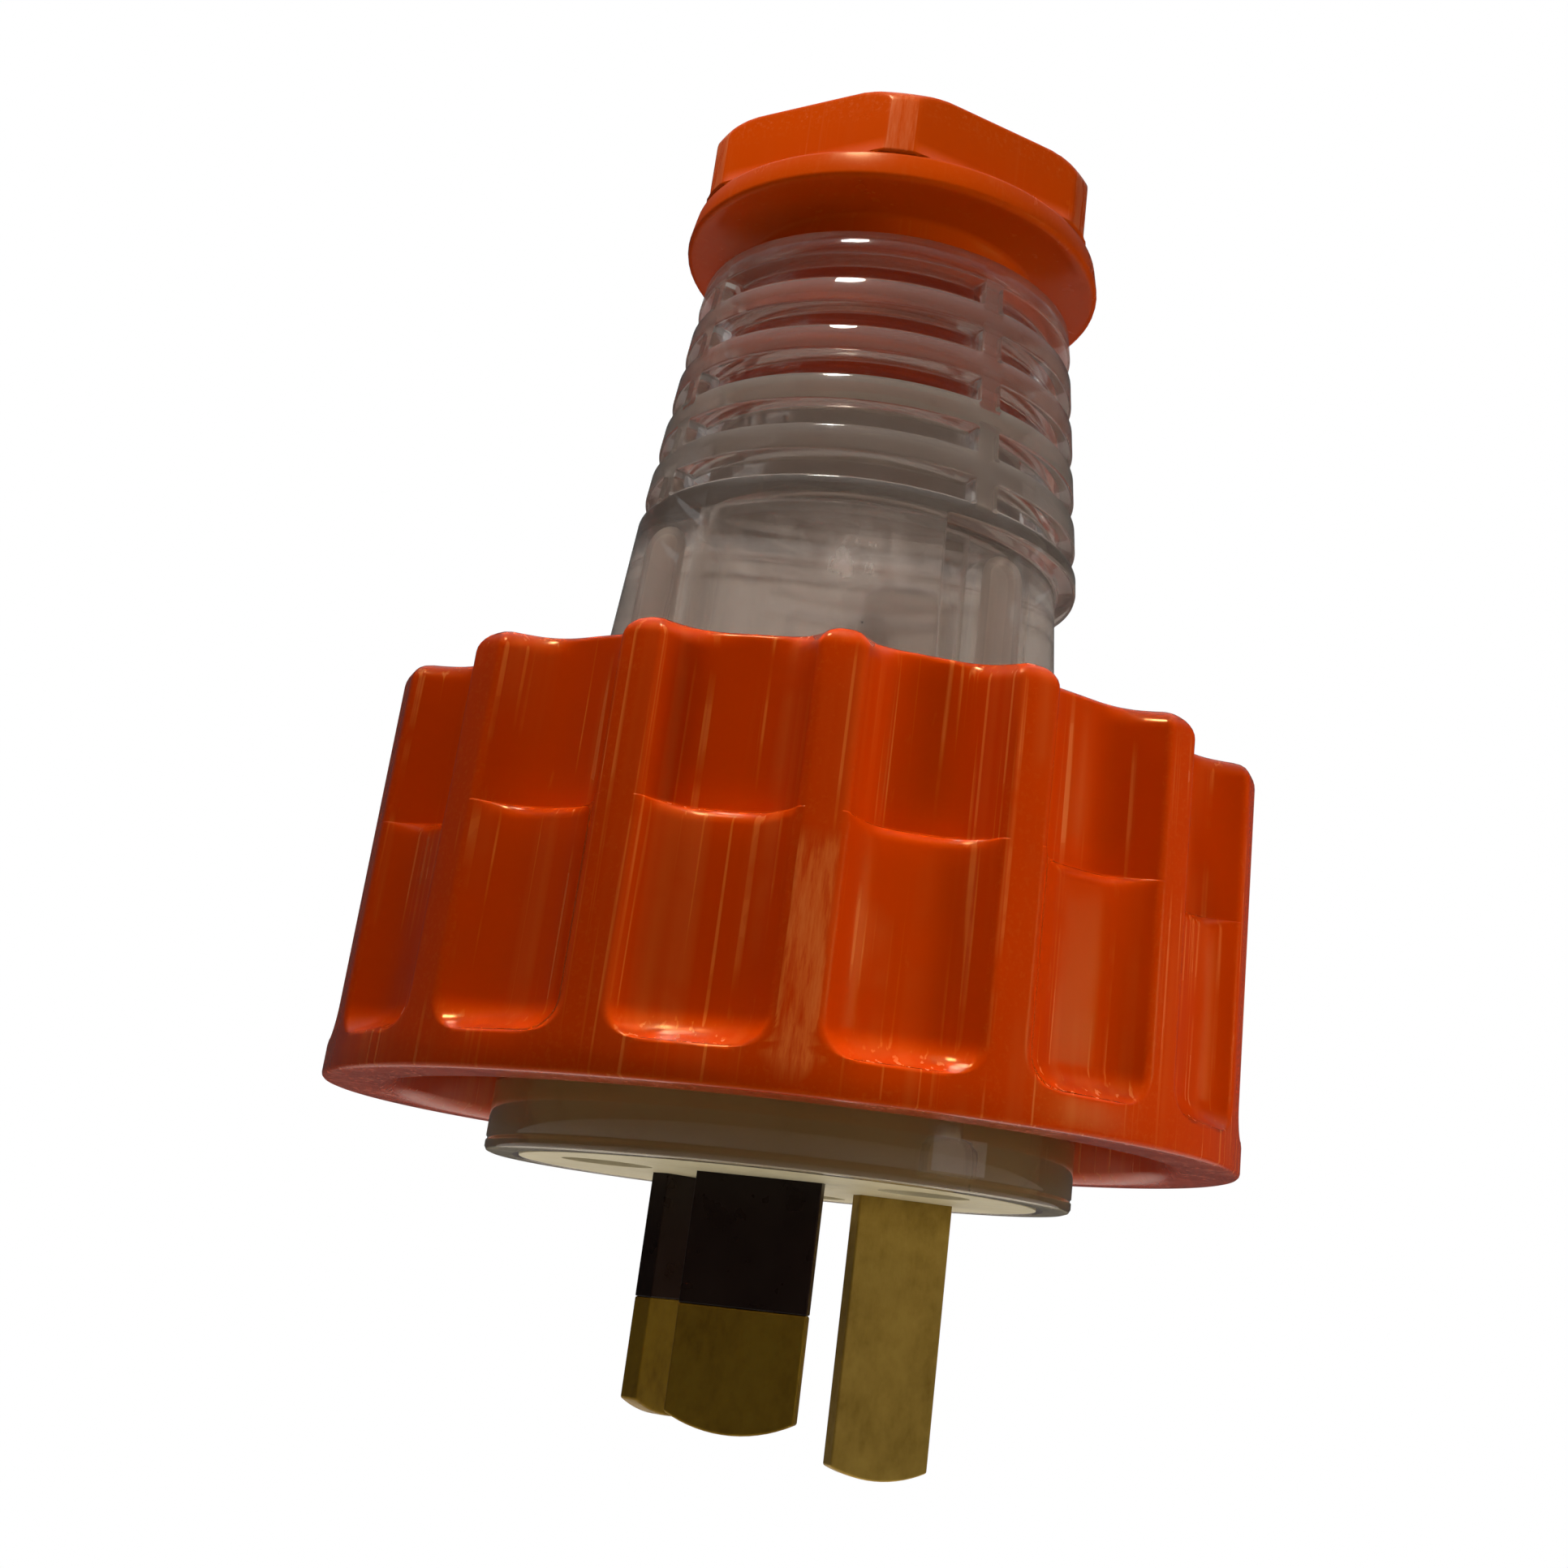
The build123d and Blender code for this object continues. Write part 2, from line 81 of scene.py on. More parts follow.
class Slot(Enum):
    """Finish slots of the record, passed along with the finished pieces."""

    CLEAR = "clear_plastic"
    ORANGE = "orange_plastic"
    GREY_RUBBER = "grey_rubber"
    CREAM = "cream_plastic"
    BLACK = "black_plastic"
    BRASS = "brass"


class Zone(IntEnum):
    """Finishes of the clear body, in the order of its materials."""

    THICK = 0
    WINDOW = 1
    INNER = 2
    # painted shade: dark amber skirt
    SHADED_NOSE = 3
    # painted shade: dark red windows over the nut's shank
    SHADED_SHANK_WINDOW = 4
    RIM = 5
    HOLE = 6


@dataclass(frozen=True)
class Pattern:
    """Noise on object coordinates: cells per metre, octaves, cut range, stretch along the plug, roughness."""

    scale: float
    detail: float
    low: float = 0.0
    high: float = 1.0
    along: float = 1.0
    rough: float = 0.5


class NodeSheet:
    """Short hand for laying out the nodes of one tree."""

    def __init__(self, tree: bpy.types.NodeTree) -> None:
        """Keeps the tree that the nodes go in."""
        self.tree = tree

    def find(self, kind: str) -> bpy.types.Node:
        """First node of a kind that the tree has from the start."""
        return next(node for node in self.tree.nodes if node.type == kind)

    def wire(self, node: bpy.types.Node, wires: Wires) -> None:
        """Links or sets inputs of a node.

        Args:
            node: node to feed.
            wires: socket or value for each input, by name or place.
        """
        for label, value in wires.items():
            socket = node.inputs[label]
            if isinstance(value, Socket):
                self.tree.links.new(value, socket)
            else:
                socket.default_value = (*value, 1.0) if socket.type == "RGBA" else value

    def add(self, kind: str, wires: Wires | None = None, **settings: str) -> bpy.types.Node:
        """Adds a node.

        Args:
            kind: node type.
            wires: socket or value for each input, by name or place.
            settings: properties of the node.

        Returns:
            The node.
        """
        node = self.tree.nodes.new(kind)
        for label, value in settings.items():
            setattr(node, label, value)
        self.wire(node, wires or {})
        return node

    def math(self, operation: str, first: Feed, second: Feed) -> Socket:
        """Result of a math node on two sockets or numbers."""
        return self.add("ShaderNodeMath", {0: first, 1: second}, operation=operation).outputs[0]

    def mix(self, factor: Socket, first: Feed, second: Feed) -> Socket:
        """Mix of two values; a factor of nought gives the first."""
        return self.add("ShaderNodeMix", {0: factor, 2: first, 3: second}).outputs[0]

    def blend(self, factor: Socket, first: Feed, second: Feed) -> Socket:
        """Mix of two colours; a factor of nought gives the first."""
        return self.add("ShaderNodeMix", {0: factor, 6: first, 7: second}, data_type="RGBA").outputs[2]

    def span(self, value: Socket, cut: Pair, floor: float = 0.0, roof: float = 1.0) -> Socket:
        """Clamped linear map of a socket.

        Args:
            value: socket to map.
            cut: values that give floor and roof.
            floor: result at the first one.
            roof: result at the second one.

        Returns:
            The mapped socket.
        """
        return self.add("ShaderNodeMapRange", {
            "Value": value, "From Min": cut[0], "From Max": cut[1], "To Min": floor, "To Max": roof,
        }).outputs["Result"]


class ShaderSheet(NodeSheet):
    """Nodes of one material, with its shader and object coordinates."""

    def __init__(self, name: str) -> None:
        """Starts the material.

        Args:
            name: material name.
        """
        self.material = bpy.data.materials.new(name)
        self.material.use_nodes = True
        super().__init__(self.material.node_tree)
        self.shader = self.find("BSDF_PRINCIPLED")
        self.coords = self.add("ShaderNodeTexCoord").outputs["Object"]

    def noise(self, pattern: Pattern) -> Socket:
        """Plain noise of a pattern.

        Args:
            pattern: scale, detail, stretch and roughness.

        Returns:
            The factor socket.
        """
        stretch = (1.0, 1.0, pattern.along)
        place = self.add("ShaderNodeMapping", {"Vector": self.coords, "Scale": stretch}).outputs["Vector"]
        return self.add("ShaderNodeTexNoise", {
            "Vector": place, "Scale": pattern.scale, "Detail": pattern.detail, "Roughness": pattern.rough,
        }).outputs["Fac"]

    def cut(self, pattern: Pattern, floor: float = 0.0, roof: float = 1.0) -> Socket:
        """Noise of a pattern, with its cut range spread from floor to roof."""
        return self.span(self.noise(pattern), (pattern.low, pattern.high), floor, roof)

    def specks(self, scale: float, size: float) -> Socket:
        """Small round specks.

        Args:
            scale: cells per metre.
            size: radius of a speck as a share of a cell.

        Returns:
            The factor socket, one inside a speck.
        """
        cells = self.add("ShaderNodeTexVoronoi", {"Vector": self.coords, "Scale": scale})
        return self.span(cells.outputs["Distance"], (size, size * 0.5))

    def marked(self, name: str, value: Socket) -> Socket:
        """Product of a mesh attribute and a socket."""
        marks = self.add("ShaderNodeAttribute", attribute_name=name).outputs["Fac"]
        return self.math("MULTIPLY", marks, value)

    def finish(self, inputs: Wires, height: Socket, strength: float, depth: float) -> Material:
        """Feeds the shader, with a bump.

        Args:
            inputs: socket or value for each input of the shader.
            height: socket with the relief.
            strength: share of the relief.
            depth: relief in metres.

        Returns:
            The material.
        """
        bump = self.add("ShaderNodeBump", {"Strength": strength, "Distance": depth, "Height": height})
        self.wire(self.shader, {**inputs, "Normal": bump.outputs["Normal"]})
        return self.material


@dataclass(frozen=True)
class MouldedFinish:
    """Glossy moulded plastic with upright scratches, scuffs and rubbed edges; the lighter rubbed corners of
    the nut are partly wear and partly a painted highlight.
    """

    name: str
    colour: Colour
    shade: Colour
    rubbed: Colour
    gloss: float = 0.12
    worn_gloss: float = 0.36
    scratches: float = 1.0
    sheen_tint: Colour = (1.0, 0.45, 0.0)
    shine: float = 0.5
    band_share: float = 0.4
    scuff_share: float = 0.22
    edge_share: float = 0.6
    mark_share: float = 0.45
    scratch_depth: float = 0.6
    mist_rise: float = 0.08
    tone: Pattern = Pattern(90.0, 4.0, 0.3, 0.75)
    hairs: Pattern = Pattern(1700.0, 2.0, 0.6, 0.67, 0.011)
    bands: Pattern = Pattern(520.0, 2.0, 0.5, 0.7, 0.02)
    places: Pattern = Pattern(120.0, 3.0, 0.4, 0.56)
    scuffs: Pattern = Pattern(900.0, 5.0, 0.64, 0.74, 0.25, 0.65)
    chips: Pattern = Pattern(2600.0, 5.0, 0.5, 0.75, rough=0.7)
    rubs: Pattern = Pattern(1500.0, 4.0, 0.35, 0.62, 0.12, 0.7)
    mist: Pattern = Pattern(260.0, 3.0, 0.3, 0.7)
    ripple: Pattern = Pattern(900.0, 2.0, along=0.05)

    def material(self) -> Material:
        """Lays out the shader.

        Returns:
            The material.
        """
        sheet = ShaderSheet(self.name)
        colour = sheet.blend(sheet.cut(self.tone), self.colour, self.shade)
        hairs = sheet.math("MAXIMUM", sheet.cut(self.hairs), sheet.cut(self.bands, roof=self.band_share))
        lines = sheet.math("MULTIPLY", hairs, sheet.cut(self.places, roof=self.scratches))
        edges = sheet.math("MULTIPLY", sheet.marked("wear", sheet.cut(self.chips)), self.edge_share)
        # rubbed strips in a lighter colour; on the nut's corners this is partly wear and partly a painted
        # highlight
        edges = sheet.math("MAXIMUM", edges, sheet.marked("scuff_and_highlight", sheet.cut(self.rubs)))
        marks = sheet.math("MAXIMUM", lines, sheet.cut(self.scuffs, roof=self.scuff_share))
        marks = sheet.math("MAXIMUM", marks, edges)
        mist = sheet.cut(self.mist, self.gloss, self.gloss + self.mist_rise)
        worn = sheet.math("MULTIPLY", marks, self.worn_gloss - self.gloss)
        cuts = sheet.math("MULTIPLY", lines, self.scratch_depth)
        relief = sheet.math("SUBTRACT", sheet.noise(self.ripple), cuts)
        return sheet.finish({
            "Base Color": sheet.blend(sheet.math("MULTIPLY", marks, self.mark_share), colour, self.rubbed),
            "Roughness": sheet.math("ADD", mist, worn),
            "Specular Tint": self.sheen_tint,
            "Specular IOR Level": self.shine,
        }, relief, strength=0.12, depth=0.0001)


@dataclass(frozen=True)
class ClearFinish:
    """Smoky clear plastic with haze, hairline scratches and trapped specks, and a painted highlight: a
    lighter, less clear patch where the mesh's haze attribute is set.
    """

    name: str
    tint: Colour
    haze: Colour
    gloss: float = 0.05
    clarity: float = 0.7
    cover: float = 0.6
    ior: float = 1.5
    # colour of the painted highlight patch
    highlight_colour: Colour = (0.9, 0.82, 0.74)
    speck_scale: float = 240.0
    speck_size: float = 0.035
    speck_shade: float = 0.12
    hair_gloss: float = 0.12
    hair_depth: float = 0.3
    fog_rise: float = 0.08
    # clarity that the painted highlight patch loses
    highlight_clarity_loss: float = 0.35
    cloud: Pattern = Pattern(120.0, 4.0, 0.35, 0.75)
    highlight_streaks: Pattern = Pattern(380.0, 5.0, 0.36, 0.68, 0.6, 0.65)
    hairs: Pattern = Pattern(1500.0, 2.0, 0.66, 0.74, 0.08)
    fog: Pattern = Pattern(300.0, 4.0, 0.4, 0.7)
    waves: Pattern = Pattern(160.0, 3.0)

    def material(self) -> Material:
        """Lays out the shader.

        Returns:
            The material.
        """
        sheet = ShaderSheet(self.name)
        colour = sheet.blend(sheet.cut(self.cloud), self.tint, self.haze)
        # painted highlight: the haze attribute, broken by streaks, turns the colour lighter and the plastic
        # less clear
        highlight_patch = sheet.marked("haze", sheet.cut(self.highlight_streaks))
        colour = sheet.blend(highlight_patch, colour, self.highlight_colour)
        specks = sheet.specks(self.speck_scale, self.speck_size)
        dark = tuple(self.speck_shade * c for c in self.tint)
        hairs = sheet.cut(self.hairs)
        fog = sheet.cut(self.fog, self.gloss, self.gloss + self.fog_rise)
        cuts = sheet.math("MULTIPLY", hairs, self.hair_depth)
        return sheet.finish({
            "Base Color": sheet.blend(specks, colour, dark),
            "Roughness": sheet.math("ADD", fog, sheet.math("MULTIPLY", hairs, self.hair_gloss)),
            "Transmission Weight": sheet.span(highlight_patch, (0.0, 1.0), self.clarity, self.clarity - self.highlight_clarity_loss),
            "IOR": self.ior,
            "Alpha": self.cover,
        }, sheet.math("ADD", sheet.noise(self.waves), cuts), strength=0.1, depth=0.0002)


@dataclass(frozen=True)
class MetalFinish:
    """Dull metal with mottled tarnish and fine drawn lines along the plug."""

    name: str
    colour: Colour
    tarnish: Colour
    gloss: float = 0.4
    mottle: float = 260.0
    metallic: float = 1.0
    least_stain: float = 0.55
    stain_gloss: float = 0.22
    grains: Pattern = Pattern(1500.0, 3.0, 0.4, 0.72, 0.5)
    drawn: Pattern = Pattern(3000.0, 2.0, along=0.02)

    def material(self) -> Material:
        """Lays out the shader.

        Returns:
            The material.
        """
        sheet = ShaderSheet(self.name)
        patches = sheet.cut(Pattern(self.mottle, 5.0, 0.36, 0.66, 0.8, 0.62))
        grains = sheet.cut(self.grains)
        stain = sheet.math("MULTIPLY", patches, sheet.span(grains, (0.0, 1.0), self.least_stain))
        return sheet.finish({
            "Base Color": sheet.blend(stain, self.colour, self.tarnish),
            "Metallic": self.metallic,
            "Roughness": sheet.span(stain, (0.0, 1.0), self.gloss, self.gloss + self.stain_gloss),
        }, sheet.math("ADD", sheet.noise(self.drawn), grains), strength=0.15, depth=0.00008)


@dataclass(frozen=True)
class SatinFinish:
    """Plain satin plastic or rubber with faint clouds, specks of dirt and a fine grain."""

    name: str
    colour: Colour
    shade: Colour
    gloss: float = 0.5
    dirt: float = 0.5
    shine: float = 0.5
    dirt_shade: float = 0.35
    gloss_fall: float = 0.06
    gloss_rise: float = 0.1
    cloud: Pattern = Pattern(150.0, 4.0, 0.35, 0.75)
    grime: Pattern = Pattern(420.0, 5.0, 0.6, 0.8, rough=0.7)
    mist: Pattern = Pattern(500.0, 3.0, 0.3, 0.7)
    grain: Pattern = Pattern(2200.0, 3.0)

    def material(self) -> Material:
        """Lays out the shader.

        Returns:
            The material.
        """
        sheet = ShaderSheet(self.name)
        colour = sheet.blend(sheet.cut(self.cloud), self.colour, self.shade)
        grime = sheet.math("MULTIPLY", sheet.cut(self.grime), self.dirt)
        dark = tuple(self.dirt_shade * c for c in self.shade)
        return sheet.finish({
            "Base Color": sheet.blend(grime, colour, dark),
            "Roughness": sheet.cut(self.mist, self.gloss - self.gloss_fall, self.gloss + self.gloss_rise),
            "Specular IOR Level": self.shine,
        }, sheet.noise(self.grain), strength=0.15, depth=0.00006)


def grid_mesh(name: str, rows: Rows, around: bool) -> Mesh:
    """Skins a stack of point rows into a closed band; the last row joins the first.

    Args:
        name: mesh name.
        rows: rows of points in millimetres.
        around: whether the last column joins the first.

    Returns:
        The mesh, in metres.
    """
    points = np.array(rows) * MM
    count, columns, _ = points.shape
    index = np.arange(count * columns).reshape(count, columns)
    above = np.roll(index, -1, axis=0)
    if around:
        corners = (index, np.roll(index, -1, 1), np.roll(above, -1, 1), above)
    else:
        corners = (index[:, :-1], index[:, 1:], above[:, 1:], above[:, :-1])
    faces = np.stack(corners, -1).reshape(-1, 4)
    mesh = bpy.data.meshes.new(name)
    mesh.from_pydata(points.reshape(-1, 3).tolist(), [], faces.tolist())
    return mesh


@contextmanager
def reworked(mesh: Mesh, *sources: Mesh) -> Iterator[bmesh.types.BMesh]:
    """Editing copy of the sources, joined, that is written to a mesh at the end.

    Args:
        mesh: mesh to write.
        sources: meshes to start from.

    Yields:
        The copy.
    """
    work = bmesh.new()
    for source in sources:
        work.from_mesh(source)
    yield work
    work.to_mesh(mesh)
    work.free()


def corners_of(mesh: Mesh) -> np.ndarray:
    """East, north and height of a mesh's points in millimetres.

    Args:
        mesh: mesh to read.

    Returns:
        Three rows of values.
    """
    points = np.empty(3 * len(mesh.vertices))
    mesh.vertices.foreach_get("co", points)
    return points.reshape(-1, 3).T / MM


def paint(mesh: Mesh, name: str, values: np.ndarray) -> None:
    """Writes one value for each point of a mesh as an attribute that finishes read.

    Args:
        mesh: mesh to write on.
        name: attribute name.
        values: the values.
    """
    layer = mesh.attributes.new(name, "FLOAT", "POINT")
    layer.data.foreach_set("value", np.ascontiguousarray(values, np.float32).reshape(-1))


def turned(radius: np.ndarray | float, height: np.ndarray | float, angles: np.ndarray) -> np.ndarray:
    """Row of points from polar values.

    Args:
        radius: radii, or one radius.
        height: heights, or one height.
        angles: angles in radians.

    Returns:
        Array of points, one for each angle.
    """
    radius = np.broadcast_to(radius, angles.shape)
    height = np.broadcast_to(height, angles.shape)
    return np.stack([radius * np.cos(angles), radius * np.sin(angles), height], -1)


def lathed(profile: list[Pair], angles: np.ndarray) -> Rows:
    """Round rows of points, one for each radius and height of a profile."""
    return [turned(radius, height, angles) for radius, height in profile]


def quarter(steps: int) -> list[Pair]:
    """Sine and one minus cosine of evenly spaced angles of a quarter turn, ends included."""
    turns = [0.5 * math.pi * k / steps for k in range(steps + 1)]
    return [(math.sin(t), 1.0 - math.cos(t)) for t in turns]


def rounded(height: float, top: float, edge: float) -> float:
    """Distance that an edge radius takes off at a height below the top."""
    over = max(0.0, height - (top - edge)) / edge
    return edge * (1.0 - math.sqrt(max(0.0, 1.0 - over * over)))


def eased(values: np.ndarray, start: float, width: float) -> np.ndarray:
    """Smooth step from nought to one over a width from the start."""
    step = np.clip((values - start) / width, 0.0, 1.0)
    return step * step * (3.0 - 2.0 * step)


def placed(data: bpy.types.ID, name: str) -> Piece:
    """Object at the origin that holds a mesh, a lamp or a camera.

    Args:
        data: what it holds.
        name: object name.

    Returns:
        The object.
    """
    piece = bpy.data.objects.new(name, data)
    bpy.context.scene.collection.objects.link(piece)
    return piece


def settle(piece: Piece, part: Part, slot: Slot, *nodes: str) -> Piece:
    """Puts a finished piece on the body that it rides on and hides the CAD nodes that it stands for.

    Args:
        piece: finished object.
        part: body that it rides on.
        slot: finish slot of the record; not used.
        nodes: CAD nodes that it replaces.

    Returns:
        The same object.
    """
    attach(piece, part.value)
    if nodes:
        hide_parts(*nodes)
    LOG.info("%s rides on %s with %d faces", piece.name, part.value, len(piece.data.polygons))
    return piece


def evaluated(piece: Piece) -> Mesh:
    """Plain mesh of an object with its modifiers applied."""
    graph = bpy.context.evaluated_depsgraph_get()
    return bpy.data.meshes.new_from_object(piece.evaluated_get(graph))


class GeometrySheet(NodeSheet):
    """Geometry Nodes tree with named inputs that ends in joined, smooth faces."""

    def __init__(self, name: str, inputs: dict[str, str]) -> None:
        """Starts a tree with its sockets.

        Args:
            name: tree name.
            inputs: kind of socket by input name.
        """
        super().__init__(bpy.data.node_groups.new(name, "GeometryNodeTree"))
        sockets = {"Geometry": "Geometry", **inputs, "Join": "Float", "Material": "Material"}
        for label, kind in sockets.items():
            self.tree.interface.new_socket(label, in_out="INPUT", socket_type="NodeSocket" + kind)
        self.tree.interface.new_socket("Geometry", in_out="OUTPUT", socket_type="NodeSocketGeometry")
        self.ask = self.add("NodeGroupInput").outputs

    def close(self, geometry: Socket) -> None:
        """Ends the tree in real, smooth faces with their material.

        Args:
            geometry: socket with the shape.
        """
        for kind, wires in (
            ("GeometryNodeRealizeInstances", {}),
            ("GeometryNodeMergeByDistance", {"Distance": self.ask["Join"]}),
            ("GeometryNodeSetShadeSmooth", {}),
            ("GeometryNodeSetMaterial", {"Material": self.ask["Material"]}),
        ):
            geometry = self.add(kind, {"Geometry": geometry, **wires}).outputs[0]
        self.tree.links.new(geometry, self.add("NodeGroupOutput").inputs[0])

    def bake(self, piece: Piece, values: dict[str, object]) -> Piece:
        """Runs the tree on an object and keeps the plain mesh.

        Args:
            piece: object that holds the starting mesh.
            values: value by input name.

        Returns:
            The same object with its final mesh.
        """
        values = {"Join": JOIN, **values}
        modifier = piece.modifiers.new(self.tree.name, "NODES")
        modifier.node_group = self.tree
        for item in self.tree.interface.items_tree:
            if item.in_out == "INPUT" and item.name in values:
                modifier[item.identifier] = values[item.name]
        mesh = evaluated(piece)
        piece.modifiers.remove(modifier)
        piece.data = mesh
        return piece


class TurnedCopies(GeometrySheet):
    """Copies of one sector turned about the plug's axis and joined."""

    def __init__(self) -> None:
        """Lays out the tree."""
        super().__init__("turned_copies", {"Count": "Int", "Start": "Float"})
        spots = self.add("GeometryNodePoints", {"Count": self.ask["Count"]}).outputs[0]
        index = self.add("GeometryNodeInputIndex").outputs[0]
        step = self.math("DIVIDE", 2.0 * math.pi, self.ask["Count"])
        turn = self.math("ADD", self.math("MULTIPLY", index, step), self.ask["Start"])
        spin = self.add("ShaderNodeCombineXYZ", {"Z": turn}).outputs[0]
        rotation = self.add("FunctionNodeEulerToRotation", {"Euler": spin}).outputs[0]
        self.close(self.add("GeometryNodeInstanceOnPoints", {
            "Points": spots, "Instance": self.ask["Geometry"], "Rotation": rotation,
        }).outputs[0])


class HelixRidge(GeometrySheet):
    """Thread ridge swept along a helix about an upright axis."""

    def __init__(self, sides: int = 6) -> None:
        """Lays out the tree.

        Args:
            sides: sides of the ridge's section.
        """
        super().__init__("helix_ridge", {
            "Centre": "Vector", "Radius": "Float", "Height": "Float", "Turns": "Float", "Steps": "Int",
            "Ridge": "Float",
        })
        ask = self.ask
        helix = self.add("GeometryNodeCurveSpiral", {
            "Resolution": ask["Steps"], "Rotations": ask["Turns"], "Start Radius": ask["Radius"],
            "End Radius": ask["Radius"], "Height": ask["Height"],
        }).outputs[0]
        moved = self.add("GeometryNodeTransform", {"Geometry": helix, "Translation": ask["Centre"]})
        upright = self.add("GeometryNodeSetCurveNormal", {"Curve": moved.outputs[0]}, mode="Z_UP")
        section = self.add("GeometryNodeCurvePrimitiveCircle", {"Resolution": sides, "Radius": ask["Ridge"]})
        self.close(self.add("GeometryNodeCurveToMesh", {
            "Curve": upright.outputs[0], "Profile Curve": section.outputs[0], "Fill Caps": True,
        }).outputs[0])


@dataclass
class Thread:
    """Thread ridge on a wall of a turning part."""

    name: str
    part: Part
    radius: float
    low: float
    pitch: float
    turns: float
    steps: int
    ridge: float

    def build(self, helix: HelixRidge, material: Material) -> Piece:
        """Makes the ridge.

        Args:
            helix: tree that sweeps it.
            material: finish of the ridge.

        Returns:
            The finished object.
        """
        ridge = helix.bake(placed(bpy.data.meshes.new(self.name), self.name), {
            "Centre": (0.0, 0.0, self.low * MM), "Radius": self.radius * MM,
            "Height": self.turns * self.pitch * MM, "Turns": self.turns, "Steps": self.steps,
            "Ridge": self.ridge * MM, "Material": material,
        })
        return settle(ridge, self.part, Slot.ORANGE)


